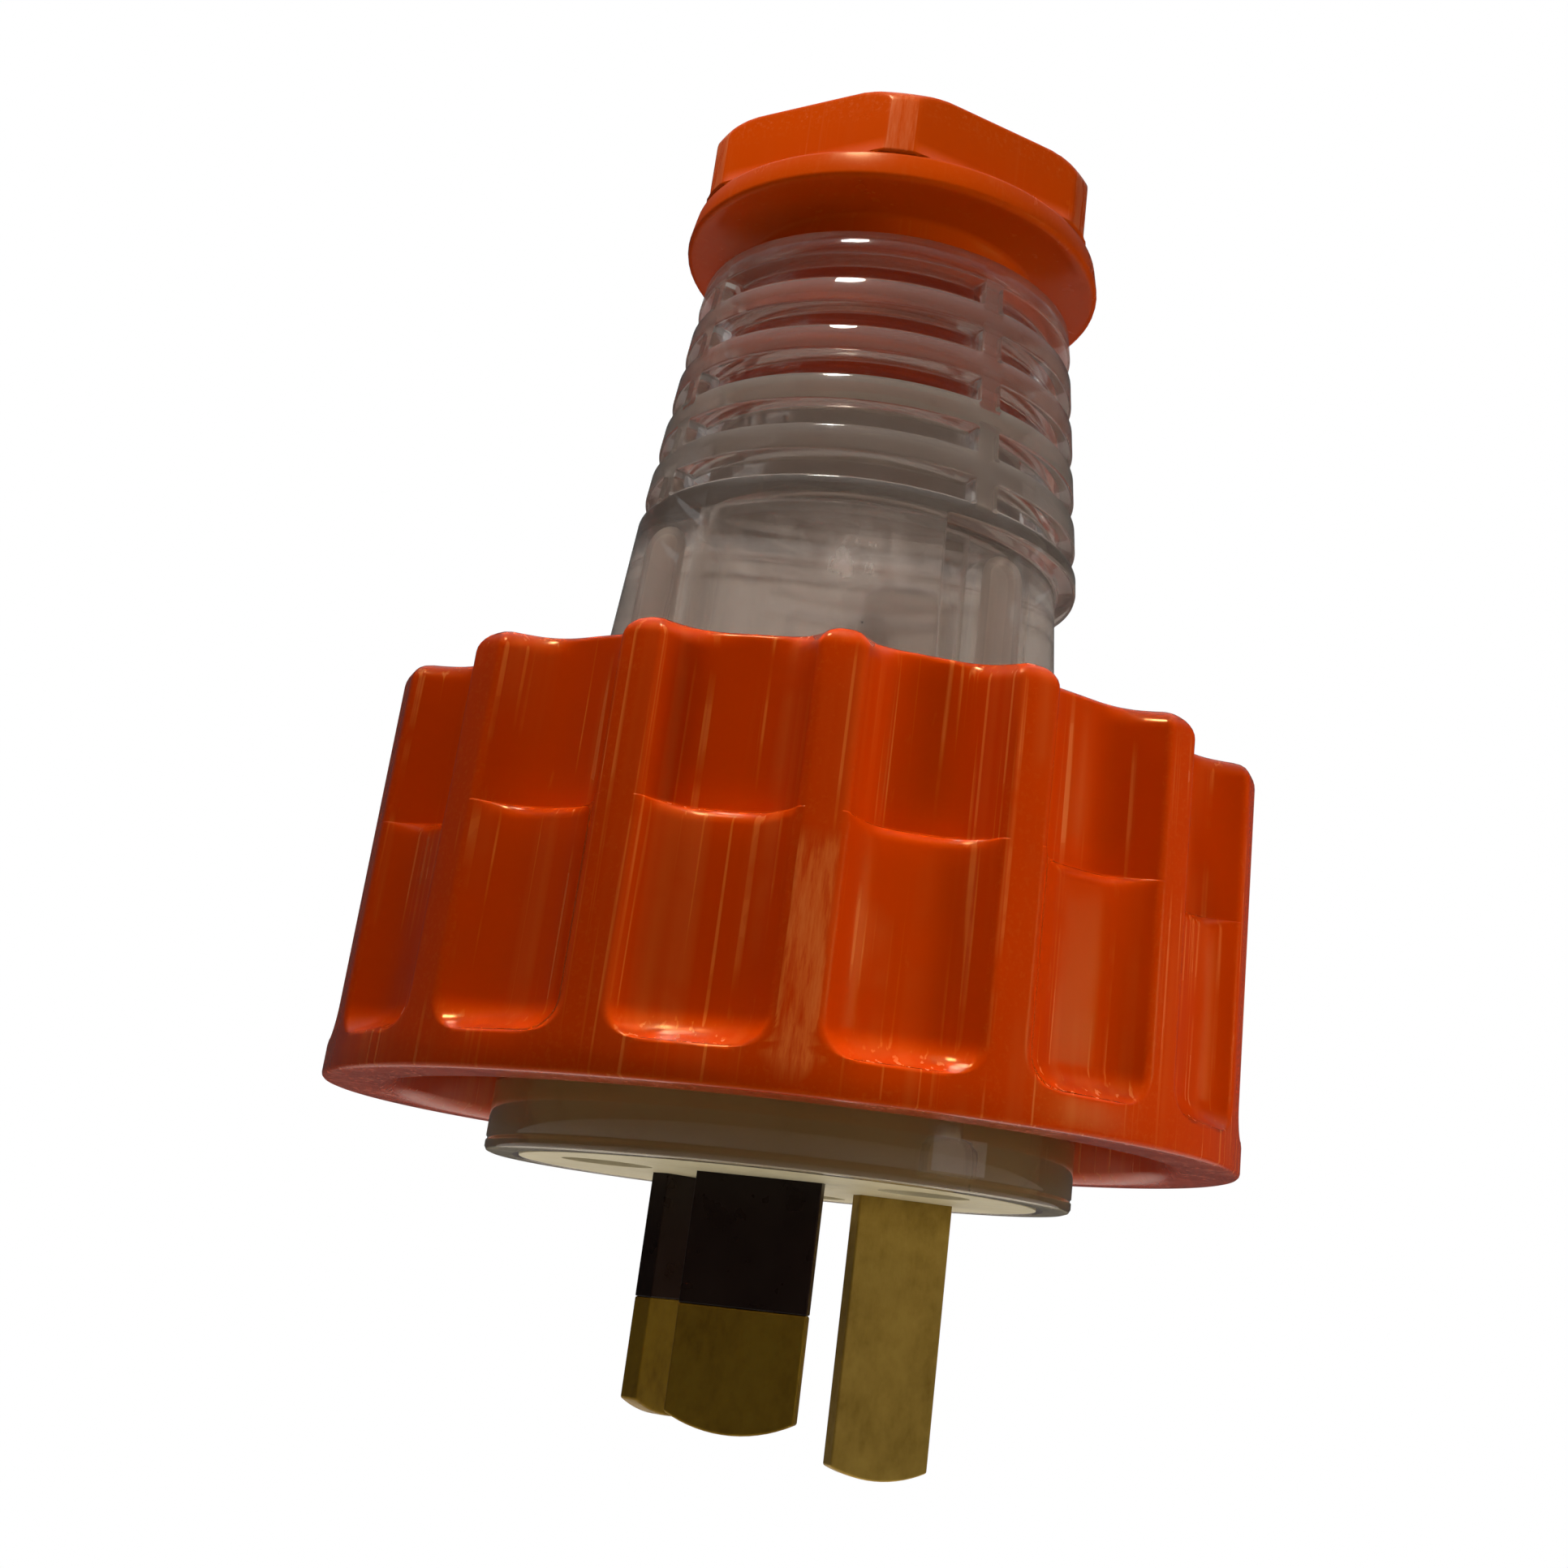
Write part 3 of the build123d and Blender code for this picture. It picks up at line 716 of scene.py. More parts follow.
@dataclass
class LockingRing:
    """Fluted ring: deep flutes above a ledge, shallow rounded pockets below, bored inside."""

    radius: float = 34.15
    low: float = 3.6
    top: float = 33.4
    ribs: int = 16
    phase: float = 1.8
    rib_half: float = 2.6
    flute_depth: float = 4.05
    flute_power: float = 3.6
    pocket_depth: float = 2.35
    pocket_power: float = 3.2
    pocket_low: float = 6.0
    pocket_round: float = 2.3
    pocket_start: float = 0.02
    pocket_gap: float = 0.25
    pocket_taper: float = 3.9
    ledge: float = 21.0
    ledge_round: float = 1.05
    ledge_fillet: float = 0.3
    crest_round: float = 0.5
    crest_share: float = 0.85
    crest_dome: float = 1.7
    tip_round: float = 2.5
    top_round: float = 0.45
    top_flat: float = 26.0
    foot_round: float = 0.35
    hole: float = 21.18
    web_low: float = 30.05
    inner: float = 27.6
    minor: float = 29.2
    minor_middle: float = 12.0
    step: float = 20.4
    edge: float = 0.3
    mouth: float = 0.8
    wall_points: int = 61
    floor_points: int = 15
    bend_points: int = 11
    flat_points: int = 4
    crest_columns: int = 12
    crest_wear: float = 0.4
    foot_rows: int = 4
    foot_wear: float = 0.5
    top_rows: int = 3
    scuffed_rib: float = -110.7
    scuffed_half: float = 2.1
    scuffed_depth: float = 0.6
    scuffed_ends: Pair = (0.5, 2.0)

    def half_section(self, crest: float, depth: float, half: float, power: float) -> np.ndarray:
        """Cross-section from the middle of a flute to the middle of a crest.

        Args:
            crest: radius of the crest.
            depth: depth of the flute.
            half: half angle of the flute in degrees.
            power: two for an even arc, more for a flatter floor and steeper walls.

        Returns:
            Radius and angle of each point, from the middle of the flute.
        """
        reach = (1.0 - (self.radius - crest) / depth) ** (1.0 / power)
        steps = reach * np.linspace(0.0, 1.0, self.wall_points)
        radii = self.radius - depth * (1.0 - steps ** power)
        angles = steps * math.radians(half)
        run = np.concatenate([[0.0], np.cumsum(np.hypot(np.diff(radii), crest * np.diff(angles)))])
        edge, middle = angles[-1], math.pi / self.ribs
        soft = min(self.crest_round, self.crest_share * crest * (middle - edge))
        stops = np.linspace(0.0, run[-1] - soft, self.floor_points)
        floor = np.stack([np.interp(stops, run, radii), np.interp(stops, run, angles)], -1)
        corner, last = np.array([radii[-1], edge]), np.array([crest, edge + soft / crest])
        turn = np.linspace(0.0, 1.0, self.bend_points)[1:, None]
        bend = (1.0 - turn) ** 2 * floor[-1] + 2.0 * turn * (1.0 - turn) * corner + turn ** 2 * last
        onward = np.linspace(last[1], middle, self.flat_points)[1:]
        return np.concatenate([floor, bend, np.stack([np.full_like(onward, crest), onward], -1)])

    def outline(
        self, height: float, depth: float, half: float, power: float = 2.0, share: float = 1.0,
        inset: float = 0.0, crest: float | None = None,
    ) -> np.ndarray:
        """Row of points of the ring's outside over one sector.

        Args:
            height: height of the row.
            depth: depth of the flute.
            half: half angle of the flute in degrees.
            power: shape of the flute, see the half section.
            share: share of the flute that is cut, nought for a plain circle.
            inset: radius taken off all round.
            crest: radius of the crests, or none for the ring's own.

        Returns:
            The points.
        """
        crest = self.radius if crest is None else crest
        side = self.half_section(crest, depth, half, power)
        radii, angles = np.concatenate([side[:0:-1] * (1.0, -1.0), side]).T
        return turned(crest + share * (radii - crest) - inset, height, angles)

    def outside(self) -> Rows:
        """Rows of the outside from the foot to the top.

        Returns:
            Rows of one sector, with as many points each.
        """
        full = 180.0 / self.ribs - self.rib_half
        deep, square = self.flute_depth, self.flute_power
        shallow, dish = self.pocket_depth, self.pocket_power
        rows = []
        for rise, fall in quarter(3):
            height, inset = self.low + self.foot_round * fall, self.foot_round * (1.0 - rise)
            rows.append(self.outline(height, shallow, full, share=0.0, inset=inset))
        below, taper = self.pocket_low - self.pocket_gap, full - self.pocket_taper
        rows.append(self.outline(below, shallow, taper, share=0.0))
        floor_start = self.pocket_low + self.pocket_round
        for rise, fall in quarter(10):
            narrow = math.degrees(self.pocket_round * (1.0 - rise) / self.radius)
            height = floor_start - self.pocket_round * (1.0 - fall)
            rows.append(self.outline(height, shallow, full - narrow, dish, max(rise, self.pocket_start)))
        for part in (0.15, 0.35, 0.6, 0.85):
            height = floor_start + part * (self.ledge - self.ledge_round - floor_start)
            rows.append(self.outline(height, shallow, full, dish))
        for rise, fall in quarter(5):
            height = self.ledge - self.ledge_round * (1.0 - rise)
            rows.append(self.outline(height, shallow + self.ledge_round * fall, full, dish))
        for rise, fall in quarter(3):
            depth = deep - self.ledge_fillet * (1.0 - rise)
            rows.append(self.outline(self.ledge + self.ledge_fillet * fall, depth, full, square))
        dome_start = self.top - self.crest_dome
        for part in (0.25, 0.5, 0.75):
            rows.append(self.outline(self.ledge + part * (dome_start - self.ledge), deep, full, square))
        for rise, fall in quarter(8):
            height = dome_start + self.crest_dome * rise
            inset = rounded(height, self.top, self.top_round)
            crest = self.radius - self.crest_dome * fall
            wide = full + math.degrees(self.tip_round * fall / self.radius)
            rows.append(self.outline(height, deep, wide, square, inset=inset, crest=crest))
        return rows

    def inside(self, columns: int) -> Rows:
        """Rows of the top face, the hole and the inner wall, from the top down to the foot.

        Args:
            columns: number of points in a row.

        Returns:
            Rows of one sector.
        """
        angles = np.linspace(-math.pi / self.ribs, math.pi / self.ribs, columns)
        soft = self.edge
        return lathed([
            (self.top_flat, self.top), (self.hole + soft, self.top), (self.hole, self.top - soft),
            (self.hole, self.web_low + soft), (self.hole + soft, self.web_low),
            (self.inner - soft, self.web_low), (self.inner, self.web_low - soft),
            (self.inner, self.step + soft), (self.inner + soft, self.step),
            (self.minor - soft, self.step), (self.minor, self.step - soft), (self.minor, self.minor_middle),
            (self.minor, self.low + self.mouth), (self.minor + self.mouth, self.low),
        ], angles)

    def build(self, copies: TurnedCopies, material: Material) -> Piece:
        """Makes the ring from one sector.

        Args:
            copies: tree that turns the sector round.
            material: finish of the ring.

        Returns:
            The finished object.
        """
        outside = self.outside()
        columns = len(outside[0])
        rows = outside + self.inside(columns)
        mesh = grid_mesh("ring_sector", rows, False)
        wear = np.zeros((len(rows), columns))
        crests = [k for k in range(columns) if min(k, columns - 1 - k) <= self.crest_columns]
        wear[: len(outside), crests] = self.crest_wear
        wear[: self.foot_rows] = self.foot_wear
        wear[len(outside) - self.top_rows:] = 0.0
        paint(mesh, "wear", wear)
        start = math.radians(self.phase + 180.0 / self.ribs)
        ring = copies.bake(placed(mesh, "ring_shell"), {
            "Count": self.ribs, "Start": start, "Material": material,
        })
        self.scuff_and_highlight(ring.data)
        return settle(ring, Part.RING, Slot.ORANGE, "locking_ring")

    def scuff_and_highlight(self, mesh: Mesh) -> None:
        """Marks the rubbed strip down the lower half of one rib as a mesh attribute.

        Args:
            mesh: mesh of the whole ring.
        """
        east, north, height = corners_of(mesh)
        aside = np.degrees(np.arctan2(north, east)) - self.scuffed_rib
        low, high = self.low + self.scuffed_ends[0], self.ledge - self.scuffed_ends[1]
        strip = np.abs(aside) < self.scuffed_half
        strip &= np.hypot(east, north) > self.radius - self.scuffed_depth
        paint(mesh, "scuff_and_highlight", strip & (height > low) & (height < high))


@dataclass
class GlandNut:
    """Hexagon head with rounded corners on a round flange, hollow shank below."""

    low: float = 76.5
    flange_top: float = 79.1
    top: float = 85.3
    flange: float = 18.1
    flange_edges: Pair = (0.5, 0.35)
    rim_lean: float = 0.3
    sides: int = 6
    half_flats: float = 16.0
    corner: float = 17.84
    corner_angle: float = 7.0
    corner_round: float = 0.16
    foot_flare: float = 0.3
    foot_rise: Pair = (0.02, 0.3)
    flat_rows: Pair = (80.5, 82.0)
    crown: float = 1.5
    edge: float = 0.25
    shank: float = 12.5
    shank_low: float = 60.0
    shank_inner: float = 10.55
    roof: float = 78.8
    bore: float = 7.0
    bore_edge: float = 0.3
    mouth: float = 2.0
    turns: tuple[float, ...] = (
        0.0, 5.0, 10.0, 14.0, 18.0, 21.0, 23.0, 24.5, 25.4, 25.8, 26.05, 26.25, 26.45, 26.7, 27.1, 28.0,
        29.0, 30.0,
    )
    flange_wear: float = 0.3
    foot_wear: float = 0.2
    crown_wear: float = 0.8
    mouth_wear: float = 0.6
    mouth_rows: int = 4
    # rubbed corners of the head, lighter in colour: partly wear, partly a painted highlight
    rub_and_highlight_rows: int = 10
    rub_and_highlight_from: float = 26.3
    rub_and_highlight_share: float = 0.8

    def hexagon(self, angles: np.ndarray, inset: float = 0.0, crown: float = 0.0) -> np.ndarray:
        """Radius of the hexagon with its corners cut by a circle and softened.

        Args:
            angles: angles from the middle of a flat.
            inset: distance taken off the flats.
            crown: distance taken off the corners.

        Returns:
            Radii.
        """
        flat = (self.half_flats - inset) / np.cos(angles)
        round_off = np.full_like(angles, self.corner - crown)
        soft = self.corner_round
        blend = np.maximum(soft - np.abs(flat - round_off), 0.0) / soft
        return np.minimum(flat, round_off) - blend ** 2 * soft * 0.25

    def stem(self) -> list[Pair]:
        """Profile of the shank's outside and the flange's underside.

        Returns:
            Radius and height of each point.
        """
        return [
            (self.shank_inner, self.shank_low + 0.3), (self.shank_inner + 0.3, self.shank_low),
            (self.shank - 0.6, self.shank_low), (self.shank, self.shank_low + 0.7),
            (self.shank, self.low - 2.0), (self.shank, self.low - 0.4), (self.shank + 0.4, self.low),
            (self.flange - 1.2, self.low),
        ]

    def rim(self) -> list[Pair]:
        """Profile of the flange's rounded rim.

        Returns:
            Radius and height of each point.
        """
        foot, soft = self.flange_edges
        lean, top = self.flange - self.rim_lean, self.flange_top
        rim = [(self.flange - foot * (1 - s), self.low + foot * c) for s, c in quarter(4)]
        return rim + [(lean - soft * c, top - soft * (1 - s)) for s, c in quarter(4)]

    def hollow(self) -> list[Pair]:
        """Profile of the top face, the bore and the shank's inside.

        Returns:
            Radius and height of each point.
        """
        soft = self.bore_edge
        hollow = [(self.bore + self.mouth + 1.2, self.top)]
        hollow += [
            (self.bore + self.mouth * (1 - s) + 0.2 * c, self.top - self.mouth * c) for s, c in quarter(5)
        ]
        return hollow + [
            (self.bore, self.roof + soft), (self.bore + soft, self.roof),
            (self.shank_inner - soft, self.roof), (self.shank_inner, self.roof - soft),
            (self.shank_inner, 70.0),
        ]

    def build(self, copies: TurnedCopies, material: Material) -> Piece:
        """Makes the nut from one of its six sides.

        Args:
            copies: tree that turns the side round.
            material: finish of the nut.

        Returns:
            The finished object.
        """
        half = np.radians(self.turns)
        angles = np.concatenate([-half[:0:-1], half])
        stem, rim, hollow = self.stem(), self.rim(), self.hollow()
        rows = lathed(stem + rim, angles)
        head = len(rows)
        foot, first = (self.flange_top + rise for rise in self.foot_rise)
        rows.append(turned(self.hexagon(angles, -self.foot_flare), foot, angles))
        for height in (first, *self.flat_rows):
            rows.append(turned(self.hexagon(angles), height, angles))
        wear = [0.0] * len(stem) + [self.flange_wear] * len(rim) + [self.foot_wear, 0.0, 0.0, 0.0]
        for rise, fall in quarter(8):
            height = self.top - self.crown * (1 - rise)
            inset = rounded(height, self.top, self.edge)
            rows.append(turned(self.hexagon(angles, inset, self.crown * fall), height, angles))
            wear.append(self.crown_wear)
        rows += lathed(hollow, angles)
        wear += [self.mouth_wear] * self.mouth_rows + [0.0] * (len(hollow) - self.mouth_rows)
        mesh = grid_mesh("nut_side", rows, False)
        paint(mesh, "wear", np.repeat(wear, len(angles)))
        # corner facets get the lighter rubbed colour, partly wear and partly a painted highlight
        rubbed = np.zeros((len(rows), len(angles)))
        corners = np.abs(angles) > math.radians(self.rub_and_highlight_from)
        rubbed[head + 1 : head + 1 + self.rub_and_highlight_rows, corners] = self.rub_and_highlight_share
        paint(mesh, "scuff_and_highlight", rubbed)
        start = math.radians(self.corner_angle + 180.0 / self.sides)
        nut = copies.bake(placed(mesh, "nut_shell"), {
            "Count": self.sides, "Start": start, "Material": material,
        })
        return settle(nut, Part.NUT, Slot.ORANGE, "gland_nut")


@dataclass
class ClearBody:
    """One clear moulding: nose skirt, flange, land, stepped barrel and ribbed neck, hollow inside."""

    nose: float = 21.95
    nose_top: float = 24.0
    nose_zone: float = 10.0
    nose_line: float = 0.1
    seal_step: float = 22.4
    flange: float = 25.4
    flange_low: float = 26.0
    flange_top: float = 30.0
    land: float = 21.1
    land_top: float = 33.1
    barrel_low: float = 19.7
    barrel_high: float = 18.35
    barrel_top: float = 50.4
    recess: float = 1.75
    recess_reach: float = 18.5
    recess_ease: float = 0.15
    lip: float = 1.6
    neck_high: float = 16.05
    neck_top: float = 72.8
    rib_count: int = 5
    rib_pitch: float = 4.48
    rib_height: float = 2.35
    rib_edge: float = 0.24
    groove: float = 1.7
    groove_fillet: float = 0.25
    groove_floor: int = 4
    web_half: float = 1.0
    web_angle: float = 10.0
    web_reach: float = 17.0
    web_ease: float = 0.12
    shank_low: float = 58.0
    gland_bore: float = 13.25
    gland_seat: float = 51.5
    seat_thick: float = 1.8
    cord_pass: float = 7.5
    throat: float = 13.2
    chamber: float = 18.0
    chamber_top: float = 28.0
    carrier_seat: float = 9.2
    skirt_bore: float = 19.6
    boss_pitch: float = 13.4
    boss: float = 3.4
    pilot: float = 1.8
    pilot_top: float = 48.6
    pilot_columns: int = 24
    key_angle: float = -78.0
    key_half: float = 2.0
    key_depth: float = 1.3
    key_shoulder: float = 2.4
    key_middle: float = 1.6
    key_edge: float = 0.2
    key_wall: float = 0.4
    key_span: Pair = (0.5, 4.0)
    # row whose faces in front of the key recess take the lighter finish as a painted highlight
    key_highlight_row: int = 7
    # painted highlight: place and reach of the light patch on the front of the barrel
    highlight_angle: float = -111.0
    highlight_height: float = 44.5
    highlight_reach: Pair = (24.0, 4.2)
    least_column: float = 0.04

    def columns(self) -> np.ndarray:
        """Angles of the columns in radians, closer at the webs, the step, the bosses and the key recess.

        Returns:
            The angles in rising order.
        """
        close = [(self.web_angle + 90.0 * k, (2.6, 2.9, 3.15, 3.4, 3.65, 3.9, 4.3)) for k in range(4)]
        close += [(edge, (0.1, 0.3, 0.6, 0.9)) for edge in (-90.0, 90.0)]
        close += [(boss, (14.2, 14.45, 14.6, 14.8)) for boss in BOSS_ANGLES]
        close += [(self.key_angle, (5.3, 5.6, 5.85, 6.1, 6.4))]
        angles = list(np.arange(-180.0, 180.0, 1.0))
        angles += [centre + side * d for centre, steps in close for side in (-1, 1) for d in steps]
        ordered = np.sort(np.mod(np.array(angles) + 180.0, 360.0) - 180.0)
        keep = np.concatenate([[True], np.diff(ordered) > self.least_column])
        return np.radians(ordered[keep])

    def cone(self, height: float) -> float:
        """Outside radius of barrel and neck at a height.

        Args:
            height: height on the axis.

        Returns:
            The radius.
        """
        if height < self.barrel_top:
            share = (height - self.land_top) / (self.barrel_top - self.land_top)
            return self.barrel_low + share * (self.barrel_high - self.barrel_low)
        share = (height - self.barrel_top) / (self.neck_top - self.barrel_top)
        return self.barrel_high + share * (self.neck_high - self.barrel_high)

    def webs(self, angles: np.ndarray) -> np.ndarray:
        """Share of a groove that is open at each angle, nought on the upright webs.

        Args:
            angles: angles of the columns.

        Returns:
            One share for each angle.
        """
        offset = np.mod(np.degrees(angles) - self.web_angle + 45.0, 90.0) - 45.0
        across = np.abs(self.web_reach * np.sin(np.radians(offset)))
        return eased(across, self.web_half - self.web_ease, 2.0 * self.web_ease)

    def stepped(self, angles: np.ndarray) -> np.ndarray:
        """Share of the barrel's step at each angle, one on the earth side."""
        return eased(self.recess_reach * np.cos(angles), -self.recess_ease, 2.0 * self.recess_ease)

    def bosses(self, angles: np.ndarray) -> np.ndarray:
        """Radius of the inner side of the screw bosses, far out between them.

        Args:
            angles: angles of the columns.

        Returns:
            One radius for each angle.
        """
        swing = np.radians(np.mod(np.degrees(angles), 120.0) - 60.0)
        under = self.boss ** 2 - (self.boss_pitch * np.sin(swing)) ** 2
        near = self.boss_pitch * np.cos(swing) - np.sqrt(np.maximum(under, 0.0))
        return np.where(under > 0.0, near, FAR)

    def groove_rows(self, rib: int) -> list[Pair]:
        """Heights and depths of one groove of the neck, from its lower edge to its upper edge.

        Args:
            rib: number of the groove, from the bottom.

        Returns:
            Height and depth of each row.
        """
        edge, fillet, deep = self.rib_edge, self.groove_fillet, self.groove
        low = self.barrel_top + rib * self.rib_pitch
        high = low + self.rib_pitch - self.rib_height
        return [
            (low - edge, 0.0), (low - 0.3 * edge, 0.3 * edge), (low, edge), (low, deep - fillet),
            (low + fillet, deep), (high - fillet, deep), (high, deep - fillet),
            (high, edge), (high + 0.3 * edge, 0.3 * edge), (high + edge, 0.0),
        ]

    def outside(self, angles: np.ndarray) -> Rows:
        """Rows of the outside, from the nose rim to the top of the neck.

        Args:
            angles: angles of the columns.

        Returns:
            The rows.
        """
        nose, land, flange, lined = self.nose, self.land, self.flange, self.nose - self.nose_line
        rows = lathed([
            (20.8, 0.0), (21.5, 0.0), (21.8, 0.1), (nose, 0.35), (nose, 0.75), (lined, 0.85), (lined, 1.0),
            (nose, 1.1), (nose, 3.4), (nose, 6.0), (nose, 14.0), (nose, self.nose_top - 0.2),
            (nose, self.nose_top), (self.seal_step, self.nose_top), (self.seal_step, self.flange_low),
            (flange - 0.3, self.flange_low), (flange, self.flange_low + 0.3), (flange, self.flange_top - 0.3),
            (flange - 0.3, self.flange_top), (land, self.flange_top), (land, self.land_top - 0.25),
            (land - 0.1, self.land_top - 0.06), (land - 0.3, self.land_top),
        ], angles)
        step = self.recess * self.stepped(angles)
        lip = self.barrel_top - self.lip
        barrel = [(self.land_top, 0.3, 1.0), (self.land_top + 0.1, 0.1, 1.0)]
        barrel += [(self.land_top + 0.35, 0.0, 1.0)]
        barrel += [(z, 0.0, 1.0) for z in (36.0, 39.0, 42.0, 45.0, 47.5, lip - 0.35)]
        barrel += [(lip - 0.1, 0.0, 0.94), (lip, 0.0, 0.8), (lip, 0.0, 0.14), (lip + 0.08, 0.0, 0.04)]
        barrel += [(lip + 0.3, 0.0, 0.0), (self.barrel_top - 0.7, 0.0, 0.0)]
        rows += [turned(self.cone(z) + out - share * step, z, angles) for z, out, share in barrel]
        open_share = self.webs(angles)
        for rib in range(self.rib_count):
            for height, depth in self.groove_rows(rib):
                rows.append(turned(self.cone(height) - depth * open_share, height, angles))
        return rows

    def key(self, angles: np.ndarray, height: float) -> np.ndarray:
        """Depth of the key recess at each angle of a row.

        Args:
            angles: angles of the columns.
            height: height of the row.

        Returns:
            One depth for each angle.
        """
        rise = max(0.0, height - self.key_shoulder)
        half = self.key_half - (1.0 - math.sqrt(max(0.0, 1.0 - rise * rise)))
        swing = angles - math.radians(self.key_angle)
        across = np.abs(self.skirt_bore * np.sin(swing))
        step = np.clip((half - across) / self.key_edge + 0.5, 0.0, 1.0)
        return self.key_depth * step * (np.cos(swing) > 0.0)

    def inside(self, angles: np.ndarray) -> Rows:
        """Rows of the inside, from the top of the neck down to the nose rim.

        Args:
            angles: angles of the columns.

        Returns:
            The rows.
        """
        bosses = self.bosses(angles)
        bore, cord, throat, skirt = self.gland_bore, self.cord_pass, self.throat, self.skirt_bore
        seat, under = self.gland_seat, self.gland_seat - self.seat_thick
        rows = lathed([
            (self.neck_high - 0.05, self.neck_top - 0.12), (self.neck_high - 0.25, self.neck_top),
            (bore + 0.4, self.neck_top), (bore, self.neck_top - 0.4), (bore, 68.0), (bore, 62.0),
            (bore, 56.0), (bore, seat + 0.3), (bore - 0.3, seat), (cord + 0.4, seat), (cord, seat - 0.4),
            (cord, under + 0.4), (cord + 0.4, under),
        ], angles)
        cavity = [
            (throat - 0.6, under), (throat - 0.15, under - 0.15), (throat, under - 0.6),
            (throat, 45.0), (throat, 40.0), (throat, 36.0), (throat + 0.1, self.land_top),
            (self.chamber - 0.3, self.chamber_top + 0.3), (self.chamber, self.chamber_top - 0.3),
            (self.chamber, 20.0), (self.chamber, self.carrier_seat + 0.02),
        ]
        rows += [turned(np.minimum(radius, bosses), height, angles) for radius, height in cavity]
        rows += lathed([(skirt, self.carrier_seat), (skirt, 6.0), (skirt, 3.5)], angles)
        for height in (3.4, 3.3, 3.1, 2.8, self.key_shoulder, self.key_middle, 0.95):
            rows.append(turned(skirt + self.key(angles, height), height, angles))
        return rows + lathed([(skirt, 0.85), (skirt, 0.3), (skirt + 0.3, 0.0)], angles)

    def pilots(self) -> Mesh:
        """Blind screw holes with domed ends, as three hollows.

        Returns:
            One mesh with all three.
        """
        around = np.linspace(-math.pi, math.pi, self.pilot_columns, endpoint=False)
        dome, mouth, tip = self.pilot_top - self.pilot, self.carrier_seat + 0.1, 0.001
        profile = [(self.pilot * s + tip, dome + self.pilot * (1.0 - c)) for s, c in quarter(6)]
        profile += [(self.pilot, 40.0), (self.pilot, 30.0), (self.pilot, mouth), (tip, mouth)]
        hollow = grid_mesh("screw_pilot", lathed(profile, around), True)
        with reworked(hollow) as work:
            for turn in np.radians(BOSS_ANGLES):
                before = len(work.verts)
                work.from_mesh(hollow)
                work.verts.ensure_lookup_table()
                shift = Vector((math.cos(turn), math.sin(turn), 0.0)) * self.boss_pitch * MM
                bmesh.ops.translate(work, verts=work.verts[before:], vec=shift)
        return hollow

    def zones(self, angles: np.ndarray, outside: Rows, count: int) -> np.ndarray:
        """Finish of each face of the shell.

        Args:
            angles: angles of the columns.
            outside: rows of the outside.
            count: number of rows.

        Returns:
            Zone numbers, row by row.
        """
        zones = np.full((count, len(angles)), Zone.INNER, np.int32)
        zones[: len(outside) - 1] = Zone.THICK
        # painted shade: the nose skirt takes the dark amber finish
        zones[: sum(row[0, 2] < self.nose_zone for row in outside)] = Zone.SHADED_NOSE
        zones[[0, 1, -1]] = Zone.RIM
        # painted highlight: the outer wall in front of the key recess takes the hazier, lighter finish
        zones[self.key_highlight_row, self.key(angles, self.key_middle) > 0.5 * self.key_depth] = Zone.THICK
        floors = self.webs(angles) > 0.5
        rib_rows = len(self.groove_rows(0))
        for rib in range(self.rib_count):
            over_shank = self.barrel_top + rib * self.rib_pitch > self.shank_low
            # painted shade: windows over the shank take the dark red finish
            window = Zone.SHADED_SHANK_WINDOW if over_shank else Zone.WINDOW
            floor_row = len(outside) - rib_rows * (self.rib_count - rib) + self.groove_floor
            zones[floor_row] = np.where(floors, window, Zone.THICK)
        return zones

    def build(self, finishes: list[Material]) -> Piece:
        """Makes the body with its screw holes.

        Args:
            finishes: finish of each zone.

        Returns:
            The finished object.
        """
        angles = self.columns()
        outside = self.outside(angles)
        rows = outside + self.inside(angles)
        mesh = grid_mesh("body_shell", rows, True)
        for material in finishes:
            mesh.materials.append(material)
        mesh.polygons.foreach_set("material_index", self.zones(angles, outside, len(rows)).reshape(-1))
        hollows = self.pilots()
        holes = np.full(len(hollows.polygons), Zone.HOLE, np.int32)
        hollows.polygons.foreach_set("material_index", holes)
        with reworked(mesh, mesh, hollows) as work:
            bmesh.ops.remove_doubles(work, verts=work.verts, dist=JOIN)
            bmesh.ops.dissolve_degenerate(work, edges=work.edges, dist=JOIN)
        mesh.shade_smooth()
        # marks the painted highlight
        self.cloud(mesh)
        return settle(placed(mesh, "body_shell"), Part.BODY, Slot.CLEAR, "clear_body")

    def cloud(self, mesh: Mesh) -> None:
        """Marks where a highlight is painted, a light patch on the front of the barrel and on the walls of
        the key recess, as the haze mesh attribute.

        Args:
            mesh: finished mesh of the body.
        """
        east, north, height = corners_of(mesh)
        aside = (np.degrees(np.arctan2(north, east)) - self.highlight_angle) / self.highlight_reach[0]
        above = (height - self.highlight_height) / self.highlight_reach[1]
        reach = np.hypot(east, north)
        recess = (reach > self.skirt_bore + self.key_wall) & (reach < self.nose - self.key_wall)
        recess &= (height > self.key_span[0]) & (height < self.key_span[1])
        # painted highlight: the barrel's front patch and the key recess walls are lightened through the haze
        # attribute
        paint(mesh, "haze", np.maximum(np.clip(1.0 - aside ** 2 - above ** 2, 0.0, 1.0), recess))


